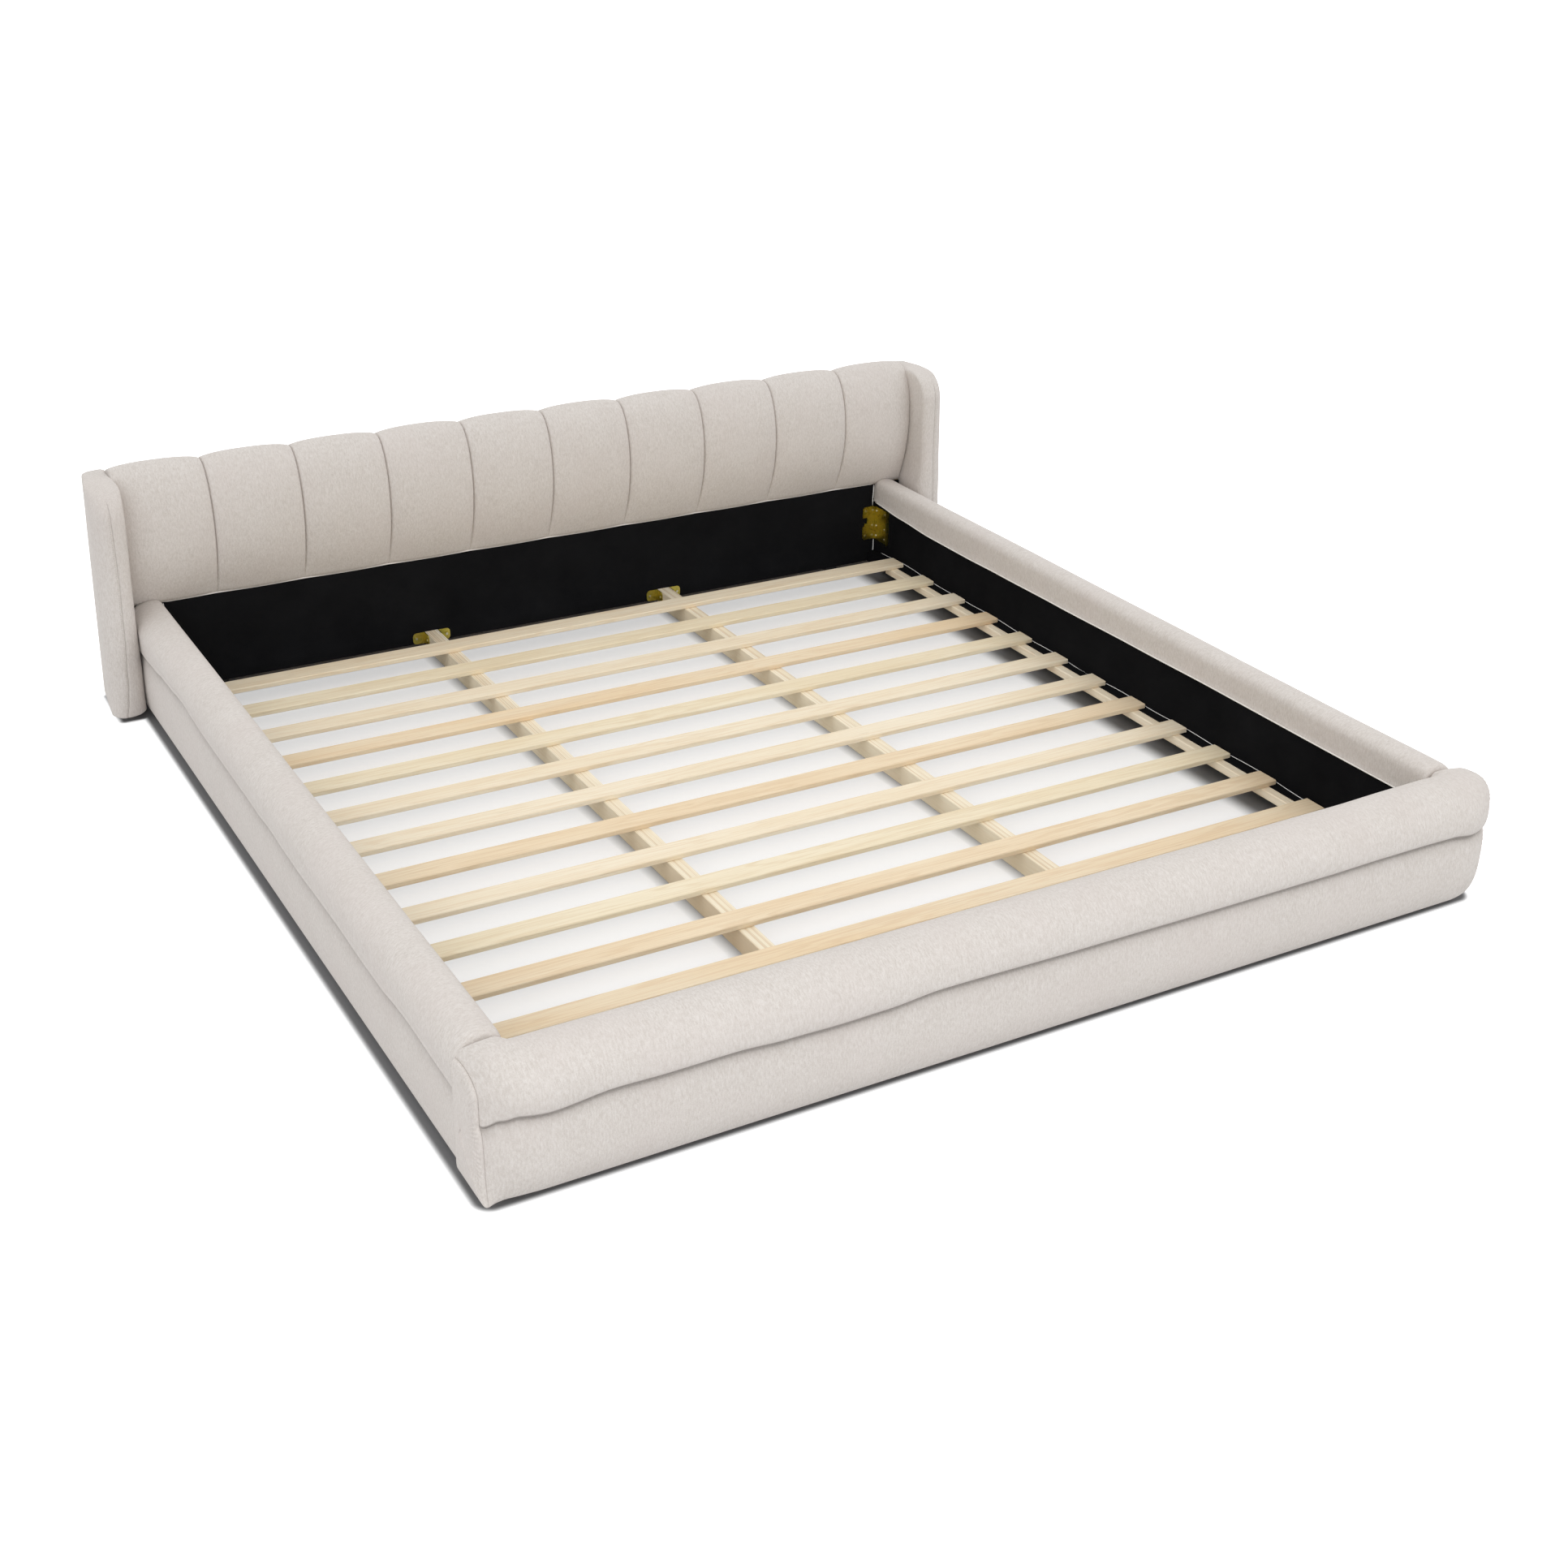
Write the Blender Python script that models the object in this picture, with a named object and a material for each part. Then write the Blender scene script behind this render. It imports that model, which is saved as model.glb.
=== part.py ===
import math

import bmesh
import bpy
from mathutils import Vector

# A low king-size bed frame. It stands on the floor at height zero, with the headboard towards +Y.
# All lengths are in metres.

# Width of the mattress well, between the padded faces of the rails.
well_width = 1.955

# Overall sizes and heights above the floor.
overall_length = 2.290
floor_gap = 0.016
touch_gap = 0.0003
slit_gap = 0.003
seam_height = 0.168
flap_height = 0.189
rail_crown_height = 0.258
cushion_top_height = 0.578

# Headboard.
back_cover_thickness = 0.006
cover_edge = 0.002
core_thickness = 0.055
core_drop = 0.050
cushion_overlap = 0.0175
lining_panel_thickness = 0.006
channel_count = 10
cushion_front_depth = 0.0705
channel_bulge = 0.013
channel_rise = 0.011
channel_drop = 0.0025
cushion_top_setback = 0.004
end_tuck = 0.014
wing_drop = 0.025
wing_thickness = 0.080
wing_lean = 0.0205
wing_depth = 0.1870
wing_inner_round = 0.026
wing_outer_round = 0.0450
wing_back_draw = 0.0150
wing_top_radius = 0.068
wing_edge_radius = 0.009
wing_toe_radius = 0.006

# Side rails.
rail_pad = 0.010
rail_board_thickness = 0.030
rail_padding_thickness = 0.0295
rail_roll_bulge = 0.0125
rail_lower_roll_bulge = 0.0120
rail_hem_reach = 0.0075
crown_padding = 0.0290
crown_inner_drop = 0.034
rail_upper_bulge_height = 0.205
rail_lower_bulge_height = 0.080
seam_wave = 0.005
seam_wave_length = 0.62

# Footboard.
foot_pad = 0.007
foot_board_thickness = 0.030
foot_upper_bulge_padding = 0.1034
foot_bottom_padding = 0.0628
foot_nip_padding = 0.080
foot_crown_padding = 0.062
foot_shoulder_drop = 0.060
foot_lower_bulge_padding = 0.100
foot_crown_rise = 0.009
foot_crown_setback = 0.032
foot_upper_bulge_height = 0.200
foot_lower_bulge_height = 0.082
foot_roll_overhang = 0.008
foot_end_round = 0.110
foot_end_overrun = 0.015
foot_end_crown_drop = 0.072
foot_end_crest_draw = 0.088
foot_end_bulge_draw = 0.110
foot_end_nip_draw = 0.080
foot_end_lower_draw = 0.088
foot_end_hem_draw = 0.045
cap_puff = 0.014
cap_inset = 0.034
cap_edge_thickness = 0.003

# Linings, cleats and ledger strips.
lining_thickness = 0.0028
cleat_width = 0.0222
ledger_width = 0.022
ledger_height = 0.019
ledger_end_gap = 0.135
ledger_edge = 0.0015

# Slats and centre beams.
slat_count = 13
slat_width = 0.055
slat_thickness = 0.0115
slat_top_height = 0.058
slat_tip_gap = 0.0045
slat_end_gap = 0.1095
slat_edge = 0.0015
beam_width = 0.034
beam_edge = 0.001
beam_end_gap = 0.001

# Beam brackets: an L of sheet steel on each side of each beam end.
bracket_sheet = 0.002
bracket_reach = 0.032
bracket_height = 0.0295
bracket_corner = 0.009

# Corner brackets: a notched plate on the end lining and a flanged plate on the rail.
plate_sheet = 0.0025
plate_height = 0.095
plate_bottom_height = 0.080
end_plate_width = 0.040
rail_plate_width = 0.070
rail_plate_flange = 0.008
plate_corner = 0.006
notch_depth = 0.014
notch_height = 0.016
notch_hook = 0.009

# Screw heads on the brackets.
screw_radius = 0.0042
screw_top_radius = 0.0032
screw_height = 0.0016
screw_root = 0.0008
screw_inset = 0.009

# Floor glides.
glide_radius = 0.021
glide_edge = 0.002
glide_side_inset = 0.120

# Shares of a whole, not lengths.
beam_place_share = 1 / 6
channel_shares = (0.0, 0.07, 0.22, 0.5, 0.78, 0.93)
plate_screw_shares = (0.12, 0.42, 0.88)
quick_wave_share = 1.7
cushion_front_share = 0.5385
wing_ridge_share = 0.5
round_profile_share = 0.5

# Counts that set how finely the shapes are built.
arc_steps = 5
roll_stations = 14
round_segments = 12

# Positions that follow from the sizes above.
back = overall_length / 2
core_back = back - back_cover_thickness - touch_gap
core_front = core_back - core_thickness
core_height = cushion_top_height - core_drop
cushion_bottom_height = rail_crown_height - cushion_overlap
foot_crown_height = rail_crown_height + foot_crown_rise
wing_height = cushion_top_height - wing_drop
head_lining_front = core_front - touch_gap - lining_panel_thickness
foot_bulge = -overall_length / 2
foot_board_outer = foot_bulge + foot_upper_bulge_padding
foot_board_inner = foot_board_outer + foot_board_thickness
foot_lining_front = foot_board_inner + touch_gap + lining_thickness
well_length = head_lining_front - foot_lining_front
cushion_back = core_front - touch_gap
cushion_front = head_lining_front - cushion_front_depth + channel_bulge
cushion_top = cushion_top_height - channel_rise
cushion_front_height = (
    cushion_bottom_height + (cushion_top_height - cushion_bottom_height) * cushion_front_share
)
rail_inner = well_width / 2
rail_board_inner = rail_inner + rail_pad
rail_board_outer = rail_board_inner + rail_board_thickness
rail_outer = rail_board_outer + rail_padding_thickness
rail_bulge = rail_outer + rail_roll_bulge
foot_roll_half_width = rail_outer + foot_roll_overhang
wing_inner = rail_bulge + touch_gap
head_half_width = rail_bulge
rail_head_end = head_lining_front - slit_gap
rail_foot_end = foot_lining_front + foot_pad + touch_gap
rail_board_top = rail_crown_height - crown_padding
rail_lining_face = rail_board_inner - touch_gap - lining_thickness
slat_underside = slat_top_height - slat_thickness
seat_height = slat_underside - touch_gap
foot_inner = foot_lining_front + foot_pad
foot_board_top = foot_crown_height - foot_crown_padding
foot_round_start = foot_roll_half_width + foot_end_overrun - foot_end_round
slat_pitch = (well_length - slat_width - 2 * slat_end_gap) / (slat_count - 1)
fabric_colour = (0.62, 0.57, 0.53)
lining_colour = (0.02, 0.02, 0.022)
pine_colour = (0.80, 0.66, 0.44)
board_colour = (0.62, 0.47, 0.30)
ply_colour = (0.72, 0.60, 0.42)
zinc_colour = (0.45, 0.40, 0.10)
glide_colour = (0.03, 0.03, 0.03)


def clear_scene():
    for found in list(bpy.data.objects):
        bpy.data.objects.remove(found, do_unlink=True)


def make_material(name, colour, roughness, metallic=0.0):
    material = bpy.data.materials.new(name)
    material.use_nodes = True
    shader = material.node_tree.nodes["Principled BSDF"]
    shader.inputs["Base Color"].default_value = (*colour, 1.0)
    shader.inputs["Roughness"].default_value = roughness
    shader.inputs["Metallic"].default_value = metallic
    return material


def add_object(name, mesh, material, location=(0, 0, 0)):
    made = bpy.data.objects.new(name, mesh)
    made.location = location
    if not mesh.materials:
        mesh.materials.append(material)
    bpy.context.scene.collection.objects.link(made)
    return made


def finish_mesh(name, bm, smooth):
    bmesh.ops.recalc_face_normals(bm, faces=bm.faces)
    mesh = bpy.data.meshes.new(name)
    bm.to_mesh(mesh)
    bm.free()
    for face in mesh.polygons:
        face.use_smooth = smooth
    return mesh


# A body whose outline changes along its length: the first outline is filled and extruded from one to the next.
def loft(name, outlines, material, smooth=True):
    bm = bmesh.new()
    base = bm.faces.new([bm.verts.new(point) for point in outlines[0]])
    face = base
    for outline in outlines[1:]:
        grown = bmesh.ops.extrude_face_region(bm, geom=[face])["geom"]
        if face is not base:
            bmesh.ops.delete(bm, geom=[face], context="FACES_ONLY")
        face = [item for item in grown if isinstance(item, bmesh.types.BMFace)][0]
        for corner, point in zip(face.verts, outline):
            corner.co = point
    return add_object(name, finish_mesh(name, bm, smooth), material)


# A box between two corners with eased edges.
def block_mesh(name, size, edge, segments=1):
    bm = bmesh.new()
    bmesh.ops.create_cube(bm, size=1)
    bmesh.ops.scale(bm, vec=size, verts=bm.verts)
    if edge:
        bmesh.ops.bevel(
            bm, geom=bm.edges, offset=edge, segments=segments, affect="EDGES", profile=round_profile_share
        )
    return finish_mesh(name, bm, False)


def block(name, low, high, material, edge=0.0, segments=1):
    low = Vector(low)
    high = Vector(high)
    mesh = block_mesh(name, high - low, edge, segments)
    return add_object(name, mesh, material, (low + high) / 2)


# Points of an elliptical quarter after its start, up to and including its end.
def quarter(start, end, leaves_upright, steps=arc_steps):
    points = []
    for step in range(1, steps + 1):
        turn = math.pi / 2 * step / steps
        slow = 1 - math.cos(turn)
        fast = math.sin(turn)
        along_first, along_second = (slow, fast) if leaves_upright else (fast, slow)
        points.append(
            Vector(
                (
                    start.x + (end.x - start.x) * along_first,
                    start.y + (end.y - start.y) * along_second,
                )
            )
        )
    return points


# Seam between the two rolls, which rises and falls a little along its run.
def seam_at(along):
    turn = 2 * math.pi * along / seam_wave_length
    return seam_height + seam_wave * (math.sin(turn) + math.sin(turn * quick_wave_share)) / 2


# Front of the fullest channel of the cushion at the height of the rail's crown.
def cushion_face_at_crown():
    foremost = cushion_front - channel_bulge
    bottom = cushion_bottom_height - channel_drop
    rise = (rail_crown_height - bottom) / (cushion_front_height - bottom)
    turn = math.acos(1 - rise)
    return head_lining_front + (foremost - head_lining_front) * math.sin(turn)


# Closed outline of the headboard cushion across its thickness, as (depth, height) points.
def cushion_outline(fullness, tuck):
    front = cushion_front - channel_bulge * fullness + tuck
    top = cushion_top + channel_rise * fullness - tuck
    bottom = cushion_bottom_height - channel_drop * fullness
    hem = Vector((head_lining_front - touch_gap, bottom))
    foremost = Vector((front, cushion_front_height))
    crest = Vector((cushion_back - cushion_top_setback, top))
    tail = Vector((core_back, core_height + touch_gap))
    outline = [Vector((cushion_back, bottom)), hem]
    outline += quarter(hem, foremost, False)
    outline += quarter(foremost, crest, True)
    outline += quarter(crest, tail, False)
    outline.append(Vector((cushion_back, core_height + touch_gap)))
    return outline


def build_headboard(fabric, lining, board):
    block(
        "headboard_core",
        (-head_half_width, core_front, floor_gap),
        (head_half_width, core_back, core_height),
        board,
    )
    block(
        "headboard_back_cover",
        (-head_half_width, core_back + touch_gap, floor_gap),
        (head_half_width, back, core_height - back_cover_thickness),
        fabric,
        cover_edge,
    )
    block(
        "headboard_lining",
        (-head_half_width, head_lining_front, floor_gap),
        (head_half_width, core_front - touch_gap, cushion_bottom_height - channel_drop - touch_gap),
        lining,
    )
    outlines = []
    channel_width = 2 * head_half_width / channel_count
    for channel in range(channel_count):
        for share in channel_shares:
            across = -head_half_width + (channel + share) * channel_width
            outlines.append(cushion_station(across, share))
    outlines.append(cushion_station(head_half_width, 1.0))
    loft("headboard_cushion", outlines, fabric)
    for side_name, side in (("left", -1), ("right", 1)):
        build_wing("headboard_wing_" + side_name, side, fabric)


def cushion_station(across, share):
    fullness = math.sqrt(max(0, 1 - (2 * share - 1) ** 2))
    reach = abs(across) / head_half_width
    tuck = end_tuck * max(0, reach * channel_count - channel_count + 1) ** 2
    return [Vector((across, point.x, point.y)) for point in cushion_outline(fullness, tuck)]


# How far a rounded edge of this radius draws in at a distance from its end.
def rounded_draw(distance, radius):
    if distance >= radius:
        return 0
    return radius - math.sqrt(radius**2 - (radius - distance) ** 2)


# Plan of a wing at one height: a rounded front with its ridge in the middle, and a side drawn in at the back.
def wing_outline(height):
    from_top = wing_height - height
    from_toe = height - floor_gap
    inset = rounded_draw(from_top, wing_edge_radius) + rounded_draw(from_toe, wing_toe_radius)
    front = back - wing_depth + inset + rounded_draw(from_top, wing_top_radius)
    thickness = wing_thickness - wing_lean * from_toe / (wing_height - floor_gap)
    inner = wing_inner + inset
    outer = wing_inner + thickness - inset
    ridge = Vector((wing_inner + thickness * wing_ridge_share, front))
    outline = [Vector((inner, back)), Vector((inner, front + wing_inner_round))]
    outline += quarter(outline[-1], ridge, True)
    outline += quarter(ridge, Vector((outer, front + wing_outer_round)), False)
    outline.append(Vector((outer - wing_back_draw, back)))
    return outline


# Heights of a wing's outlines: closer together where its toe and its front top corner round over.
def wing_heights():
    heights = []
    for step in range(arc_steps):
        turn = math.pi / 2 * step / arc_steps
        heights.append(floor_gap + wing_toe_radius * (1 - math.cos(turn)))
    top_steps = 2 * arc_steps
    for step in range(top_steps, -1, -1):
        turn = math.pi / 2 * step / top_steps
        heights.append(wing_height - wing_top_radius * (1 - math.cos(turn)))
    return heights


# A wing is an upholstered upright that widens towards its foot.
def build_wing(name, side, fabric):
    outlines = []
    for height in wing_heights():
        outlines.append([Vector((side * point.x, point.y, height)) for point in wing_outline(height)])
    loft(name, outlines, fabric)


# Upper roll of a rail: it hangs outside the board, wraps over it and ends in a flap on the inner face.
def rail_upper_outline(seam):
    lip = seam + touch_gap / 2
    nip = Vector((rail_outer, lip))
    fullest = Vector((rail_bulge, rail_upper_bulge_height))
    crest = Vector(((rail_inner + rail_outer) / 2, rail_crown_height))
    shoulder = Vector((rail_inner, rail_crown_height - crown_inner_drop))
    roof = rail_board_top + touch_gap
    outline = [nip]
    outline += quarter(nip, fullest, False, 3)
    outline += quarter(fullest, crest, True)
    outline += quarter(crest, shoulder, False)
    outline.append(Vector((rail_inner, flap_height)))
    outline.append(Vector((rail_board_inner - touch_gap, flap_height)))
    outline.append(Vector((rail_board_inner - touch_gap, roof)))
    outline.append(Vector((rail_board_outer + touch_gap, roof)))
    outline.append(Vector((rail_board_outer + touch_gap, lip)))
    return outline


def rail_lower_outline(seam):
    lip = seam - touch_gap / 2
    hem = Vector((rail_outer + rail_hem_reach, floor_gap))
    fullest = Vector((rail_outer + rail_lower_roll_bulge, rail_lower_bulge_height))
    outline = [Vector((rail_board_outer + touch_gap, lip))]
    outline.append(Vector((rail_board_outer + touch_gap, floor_gap)))
    outline.append(hem)
    outline += quarter(hem, fullest, False, 4)
    outline += quarter(fullest, Vector((rail_outer, lip)), True, 4)
    return outline


# One station of a rail's roll. At the head end the crown stops short, where the cushion rests over it.
def rail_station(outline, side, along):
    placed = []
    for point in outline:
        reach = along
        if point.y > rail_board_top:
            reach = min(along, cushion_face_at_crown() - touch_gap)
        placed.append(Vector((side * point.x, reach, point.y)))
    return placed


def build_rail(side_name, side, fabric, lining, board, pine):
    uppers = []
    lowers = []
    for station in range(roll_stations + 1):
        along = rail_foot_end + (rail_head_end - rail_foot_end) * station / roll_stations
        seam = seam_at(along)
        uppers.append(rail_station(rail_upper_outline(seam), side, along))
        lowers.append(rail_station(rail_lower_outline(seam), side, along))
    loft("rail_upper_roll_" + side_name, uppers, fabric)
    loft("rail_lower_roll_" + side_name, lowers, fabric)
    side_block(
        "rail_board_" + side_name,
        side,
        (rail_board_inner, rail_foot_end, floor_gap),
        (rail_board_outer, rail_head_end, rail_board_top),
        board,
    )
    side_block(
        "rail_lining_" + side_name,
        side,
        (rail_lining_face, rail_foot_end, floor_gap),
        (rail_board_inner - touch_gap, rail_head_end, flap_height - touch_gap),
        lining,
    )
    cleat_outer = rail_lining_face - touch_gap
    cleat_inner = cleat_outer - cleat_width
    side_block(
        "slat_cleat_" + side_name,
        side,
        (cleat_inner, rail_foot_end, floor_gap),
        (cleat_outer, rail_head_end, seat_height),
        lining,
    )
    ledger_outer = cleat_inner - touch_gap
    side_block(
        "ledger_strip_" + side_name,
        side,
        (ledger_outer - ledger_width, foot_lining_front + ledger_end_gap, seat_height - ledger_height),
        (ledger_outer, head_lining_front - ledger_end_gap, seat_height),
        pine,
        ledger_edge,
    )


# A block given for the right side and mirrored in position for the left.
def side_block(name, side, low, high, material, edge=0.0):
    ends = sorted((side * low[0], side * high[0]))
    block(name, (ends[0], low[1], low[2]), (ends[1], high[1], high[2]), material, edge)


# How far the rounding of the footboard's ends has come at one place: none along most of the width.
def foot_recess(across):
    into_end = (abs(across) - foot_round_start) / foot_end_round
    return 1 - math.sqrt(1 - max(0, into_end) ** 2)


# Where the two rolls of the footboard meet, in depth.
def foot_nip_depth(recess):
    return foot_board_outer - foot_nip_padding + foot_end_nip_draw * recess


def foot_upper_outline(seam, recess):
    lip = seam + touch_gap / 2
    roof = foot_board_top + touch_gap
    crest_depth = foot_board_outer - foot_crown_setback + foot_end_crest_draw * recess
    nip = Vector((foot_nip_depth(recess), lip))
    crest = Vector((crest_depth, foot_crown_height - foot_end_crown_drop * recess))
    shoulder = Vector((foot_inner, foot_crown_height - foot_shoulder_drop))
    fullest = Vector((foot_bulge + foot_end_bulge_draw * recess, foot_upper_bulge_height))
    outline = [nip]
    outline += quarter(nip, fullest, False, 3)
    outline += quarter(fullest, crest, True, 6)
    outline += quarter(crest, shoulder, False)
    outline.append(Vector((foot_inner, flap_height)))
    outline.append(Vector((foot_board_inner + touch_gap, flap_height)))
    outline.append(Vector((foot_board_inner + touch_gap, roof)))
    outline.append(Vector((foot_board_outer - touch_gap, roof)))
    outline.append(Vector((foot_board_outer - touch_gap, lip)))
    return outline


def foot_lower_outline(seam, recess):
    lip = seam - touch_gap / 2
    bulge = foot_board_outer - foot_lower_bulge_padding + foot_end_lower_draw * recess
    hem = Vector((foot_board_outer - foot_bottom_padding + foot_end_hem_draw * recess, floor_gap))
    fullest = Vector((bulge, foot_lower_bulge_height))
    outline = [Vector((foot_board_outer - touch_gap, lip))]
    outline.append(Vector((foot_board_outer - touch_gap, floor_gap)))
    outline.append(hem)
    outline += quarter(hem, fullest, False, 4)
    outline += quarter(fullest, Vector((foot_nip_depth(recess), lip)), True, 4)
    return outline


# Side view of the whole footboard at its end, which the end panel covers.
def foot_end_outline(shrink):
    seam = seam_at(foot_roll_half_width)
    recess = foot_recess(foot_roll_half_width)
    lower = foot_lower_outline(seam, recess)[2:]
    upper = foot_upper_outline(seam, recess)[1:-5]
    outline = [Vector((foot_inner, floor_gap))] + lower + upper
    middle = Vector(((foot_inner + foot_nip_depth(recess)) / 2, seam))
    for point in outline:
        inward = middle - point
        if inward.length > shrink:
            point += inward.normalized() * shrink
    return outline


def build_footboard(fabric, lining, board):
    uppers = []
    lowers = []
    for station in range(foot_station_count() + 1):
        across = foot_station(station)
        seam = seam_at(abs(across))
        recess = foot_recess(across)
        upper = foot_upper_outline(seam, recess)
        lower = foot_lower_outline(seam, recess)
        uppers.append([Vector((across, point.x, point.y)) for point in upper])
        lowers.append([Vector((across, point.x, point.y)) for point in lower])
    loft("footboard_upper_roll", uppers, fabric)
    loft("footboard_lower_roll", lowers, fabric)
    end = foot_roll_half_width
    block(
        "footboard_board",
        (-end, foot_board_outer, floor_gap),
        (end, foot_board_inner, foot_board_top),
        board,
    )
    block(
        "footboard_lining",
        (-end, foot_board_inner + touch_gap, floor_gap),
        (end, foot_lining_front, flap_height - touch_gap),
        lining,
    )
    for side_name, side in (("left", -1), ("right", 1)):
        build_end_panel("footboard_end_panel_" + side_name, side, fabric)


# Stations across the footboard: evenly spaced along the middle, closer where the ends round over.
def foot_station_count():
    return roll_stations + 2 * arc_steps


def foot_station(station):
    rounded = foot_roll_half_width - foot_round_start
    if station < arc_steps:
        turn = math.pi / 2 * station / arc_steps
        return -foot_round_start - rounded * math.cos(turn)
    if station > roll_stations + arc_steps:
        turn = math.pi / 2 * (station - roll_stations - arc_steps) / arc_steps
        return foot_round_start + rounded * math.sin(turn)
    return -foot_round_start + 2 * foot_round_start * (station - arc_steps) / roll_stations


def build_end_panel(name, side, fabric):
    outlines = []
    start = foot_roll_half_width + touch_gap
    steps = arc_steps
    outlines.append(end_panel_station(side, start, 0.0))
    for step in range(steps + 1):
        turn = math.pi / 2 * step / steps
        reach = start + cap_edge_thickness + (cap_puff - cap_edge_thickness) * math.sin(turn)
        outlines.append(end_panel_station(side, reach, cap_inset * (1 - math.cos(turn))))
    loft(name, outlines, fabric)


def end_panel_station(side, reach, shrink):
    return [Vector((side * reach, point.x, point.y)) for point in foot_end_outline(shrink)]


def build_slats(pine):
    half_length = rail_lining_face - slat_tip_gap
    mesh = block_mesh("slat", (2 * half_length, slat_width, slat_thickness), slat_edge)
    middle = (head_lining_front + foot_lining_front) / 2
    first = middle + slat_pitch * (slat_count - 1) / 2
    for index in range(slat_count):
        place = (0, first - slat_pitch * index, slat_underside + slat_thickness / 2)
        add_object("slat_%02d" % (index + 1), mesh, pine, place)


def build_beams(ply):
    for side_name, side in (("left", -1), ("right", 1)):
        centre = side * well_width * beam_place_share
        block(
            "centre_beam_" + side_name,
            (centre - beam_width / 2, foot_lining_front + beam_end_gap, 0),
            (centre + beam_width / 2, head_lining_front - beam_end_gap, seat_height),
            ply,
            beam_edge,
        )


# Pan heads of the screws on one bracket, joined to it as one body.
def add_screws(plate, name, places, facing, material):
    bm = bmesh.new()
    for place in places:
        made = bmesh.ops.create_cone(
            bm,
            cap_ends=True,
            segments=round_segments,
            radius1=screw_radius,
            radius2=screw_top_radius,
            depth=screw_height + screw_root,
        )
        turn = Vector((0, 0, 1)).rotation_difference(facing).to_matrix()
        bmesh.ops.rotate(bm, verts=made["verts"], cent=(0, 0, 0), matrix=turn)
        lift = facing * (screw_height - screw_root) / 2
        bmesh.ops.translate(bm, verts=made["verts"], vec=Vector(place) + lift)
    heads = add_object(name + "_screws", finish_mesh(name + "_screws", bm, False), material)
    heads.hide_render = True
    heads.display_type = "WIRE"
    union = plate.modifiers.new("screws", "BOOLEAN")
    union.operation = "UNION"
    union.solver = "EXACT"
    union.object = heads


# A sheet-metal L: one leg on the lining of the head or foot, one leg on the side of the beam.
def build_beam_bracket(name, beam_side, end, out, zinc):
    face = head_lining_front if end > 0 else foot_lining_front
    beam_face = beam_side * well_width * beam_place_share + out * (beam_width / 2 + touch_gap)
    wall = face - end * touch_gap
    low = floor_gap
    high = low + bracket_height
    bm = bmesh.new()
    corners = [
        (beam_face, wall - end * bracket_reach),
        (beam_face, wall),
        (beam_face + out * bracket_reach, wall),
        (beam_face + out * bracket_reach, wall - end * bracket_sheet),
        (beam_face + out * bracket_sheet, wall - end * bracket_sheet),
        (beam_face + out * bracket_sheet, wall - end * bracket_reach),
    ]
    bottom = bm.faces.new([bm.verts.new((x, y, low)) for x, y in corners])
    grown = bmesh.ops.extrude_face_region(bm, geom=[bottom])["geom"]
    raised = [item for item in grown if isinstance(item, bmesh.types.BMVert)]
    bmesh.ops.translate(bm, verts=raised, vec=(0, 0, high - low))
    tips = [
        edge
        for edge in bm.edges
        if is_tip(edge, beam_face + out * bracket_reach, wall - end * bracket_reach)
    ]
    bmesh.ops.bevel(
        bm, geom=tips, offset=bracket_corner, segments=3, affect="EDGES", profile=round_profile_share
    )
    bracket = add_object(name, finish_mesh(name, bm, False), zinc)
    height = (low + high) / 2
    wall_screw = (beam_face + out * (bracket_reach - screw_inset), wall - end * bracket_sheet, height)
    beam_screw = (beam_face + out * bracket_sheet, wall - end * (bracket_reach - screw_inset), height)
    add_screws(bracket, name + "_wall", [wall_screw], Vector((0, -end, 0)), zinc)
    add_screws(bracket, name + "_beam", [beam_screw], Vector((out, 0, 0)), zinc)


# True for the short edges at the free end of either leg, whose corners are rounded.
def is_tip(edge, far_x, far_y):
    first, second = [corner.co for corner in edge.verts]
    if abs(first.z - second.z) > touch_gap:
        return False
    at_x = abs(first.x - far_x) < touch_gap and abs(second.x - far_x) < touch_gap
    at_y = abs(first.y - far_y) < touch_gap and abs(second.y - far_y) < touch_gap
    return at_x or at_y


# Plate on the end lining, with a hook-shaped notch in its inner edge.
def build_end_plate(name, side, end, zinc):
    wall = (head_lining_front if end > 0 else foot_lining_front) - end * touch_gap
    outer = rail_lining_face - touch_gap
    inner = outer - end_plate_width
    low = plate_bottom_height
    high = low + plate_height
    middle = (low + high) / 2
    outline = [
        (outer, low),
        (outer, high - plate_corner),
        (outer - plate_corner, high),
        (inner + plate_corner, high),
        (inner, high - plate_corner),
        (inner, middle + notch_height),
        (inner + notch_depth, middle + notch_height),
        (inner + notch_depth, middle),
        (inner + notch_depth - notch_hook, middle),
        (inner + notch_depth - notch_hook, middle - notch_hook),
        (inner, middle - notch_hook),
        (inner, low + plate_corner),
        (inner + plate_corner, low),
    ]
    bm = bmesh.new()
    face = bm.faces.new([bm.verts.new((side * x, wall, z)) for x, z in outline])
    grown = bmesh.ops.extrude_face_region(bm, geom=[face])["geom"]
    raised = [item for item in grown if isinstance(item, bmesh.types.BMVert)]
    bmesh.ops.translate(bm, verts=raised, vec=(0, -end * plate_sheet, 0))
    plate = add_object(name, finish_mesh(name, bm, False), zinc)
    places = []
    for share in plate_screw_shares:
        height = low + plate_height * share
        places.append((side * (outer - screw_inset), wall - end * plate_sheet, height))
    for share in (plate_screw_shares[0], plate_screw_shares[-1]):
        height = low + plate_height * share
        places.append((side * (inner + screw_inset), wall - end * plate_sheet, height))
    add_screws(plate, name, places, Vector((0, -end, 0)), zinc)


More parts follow.
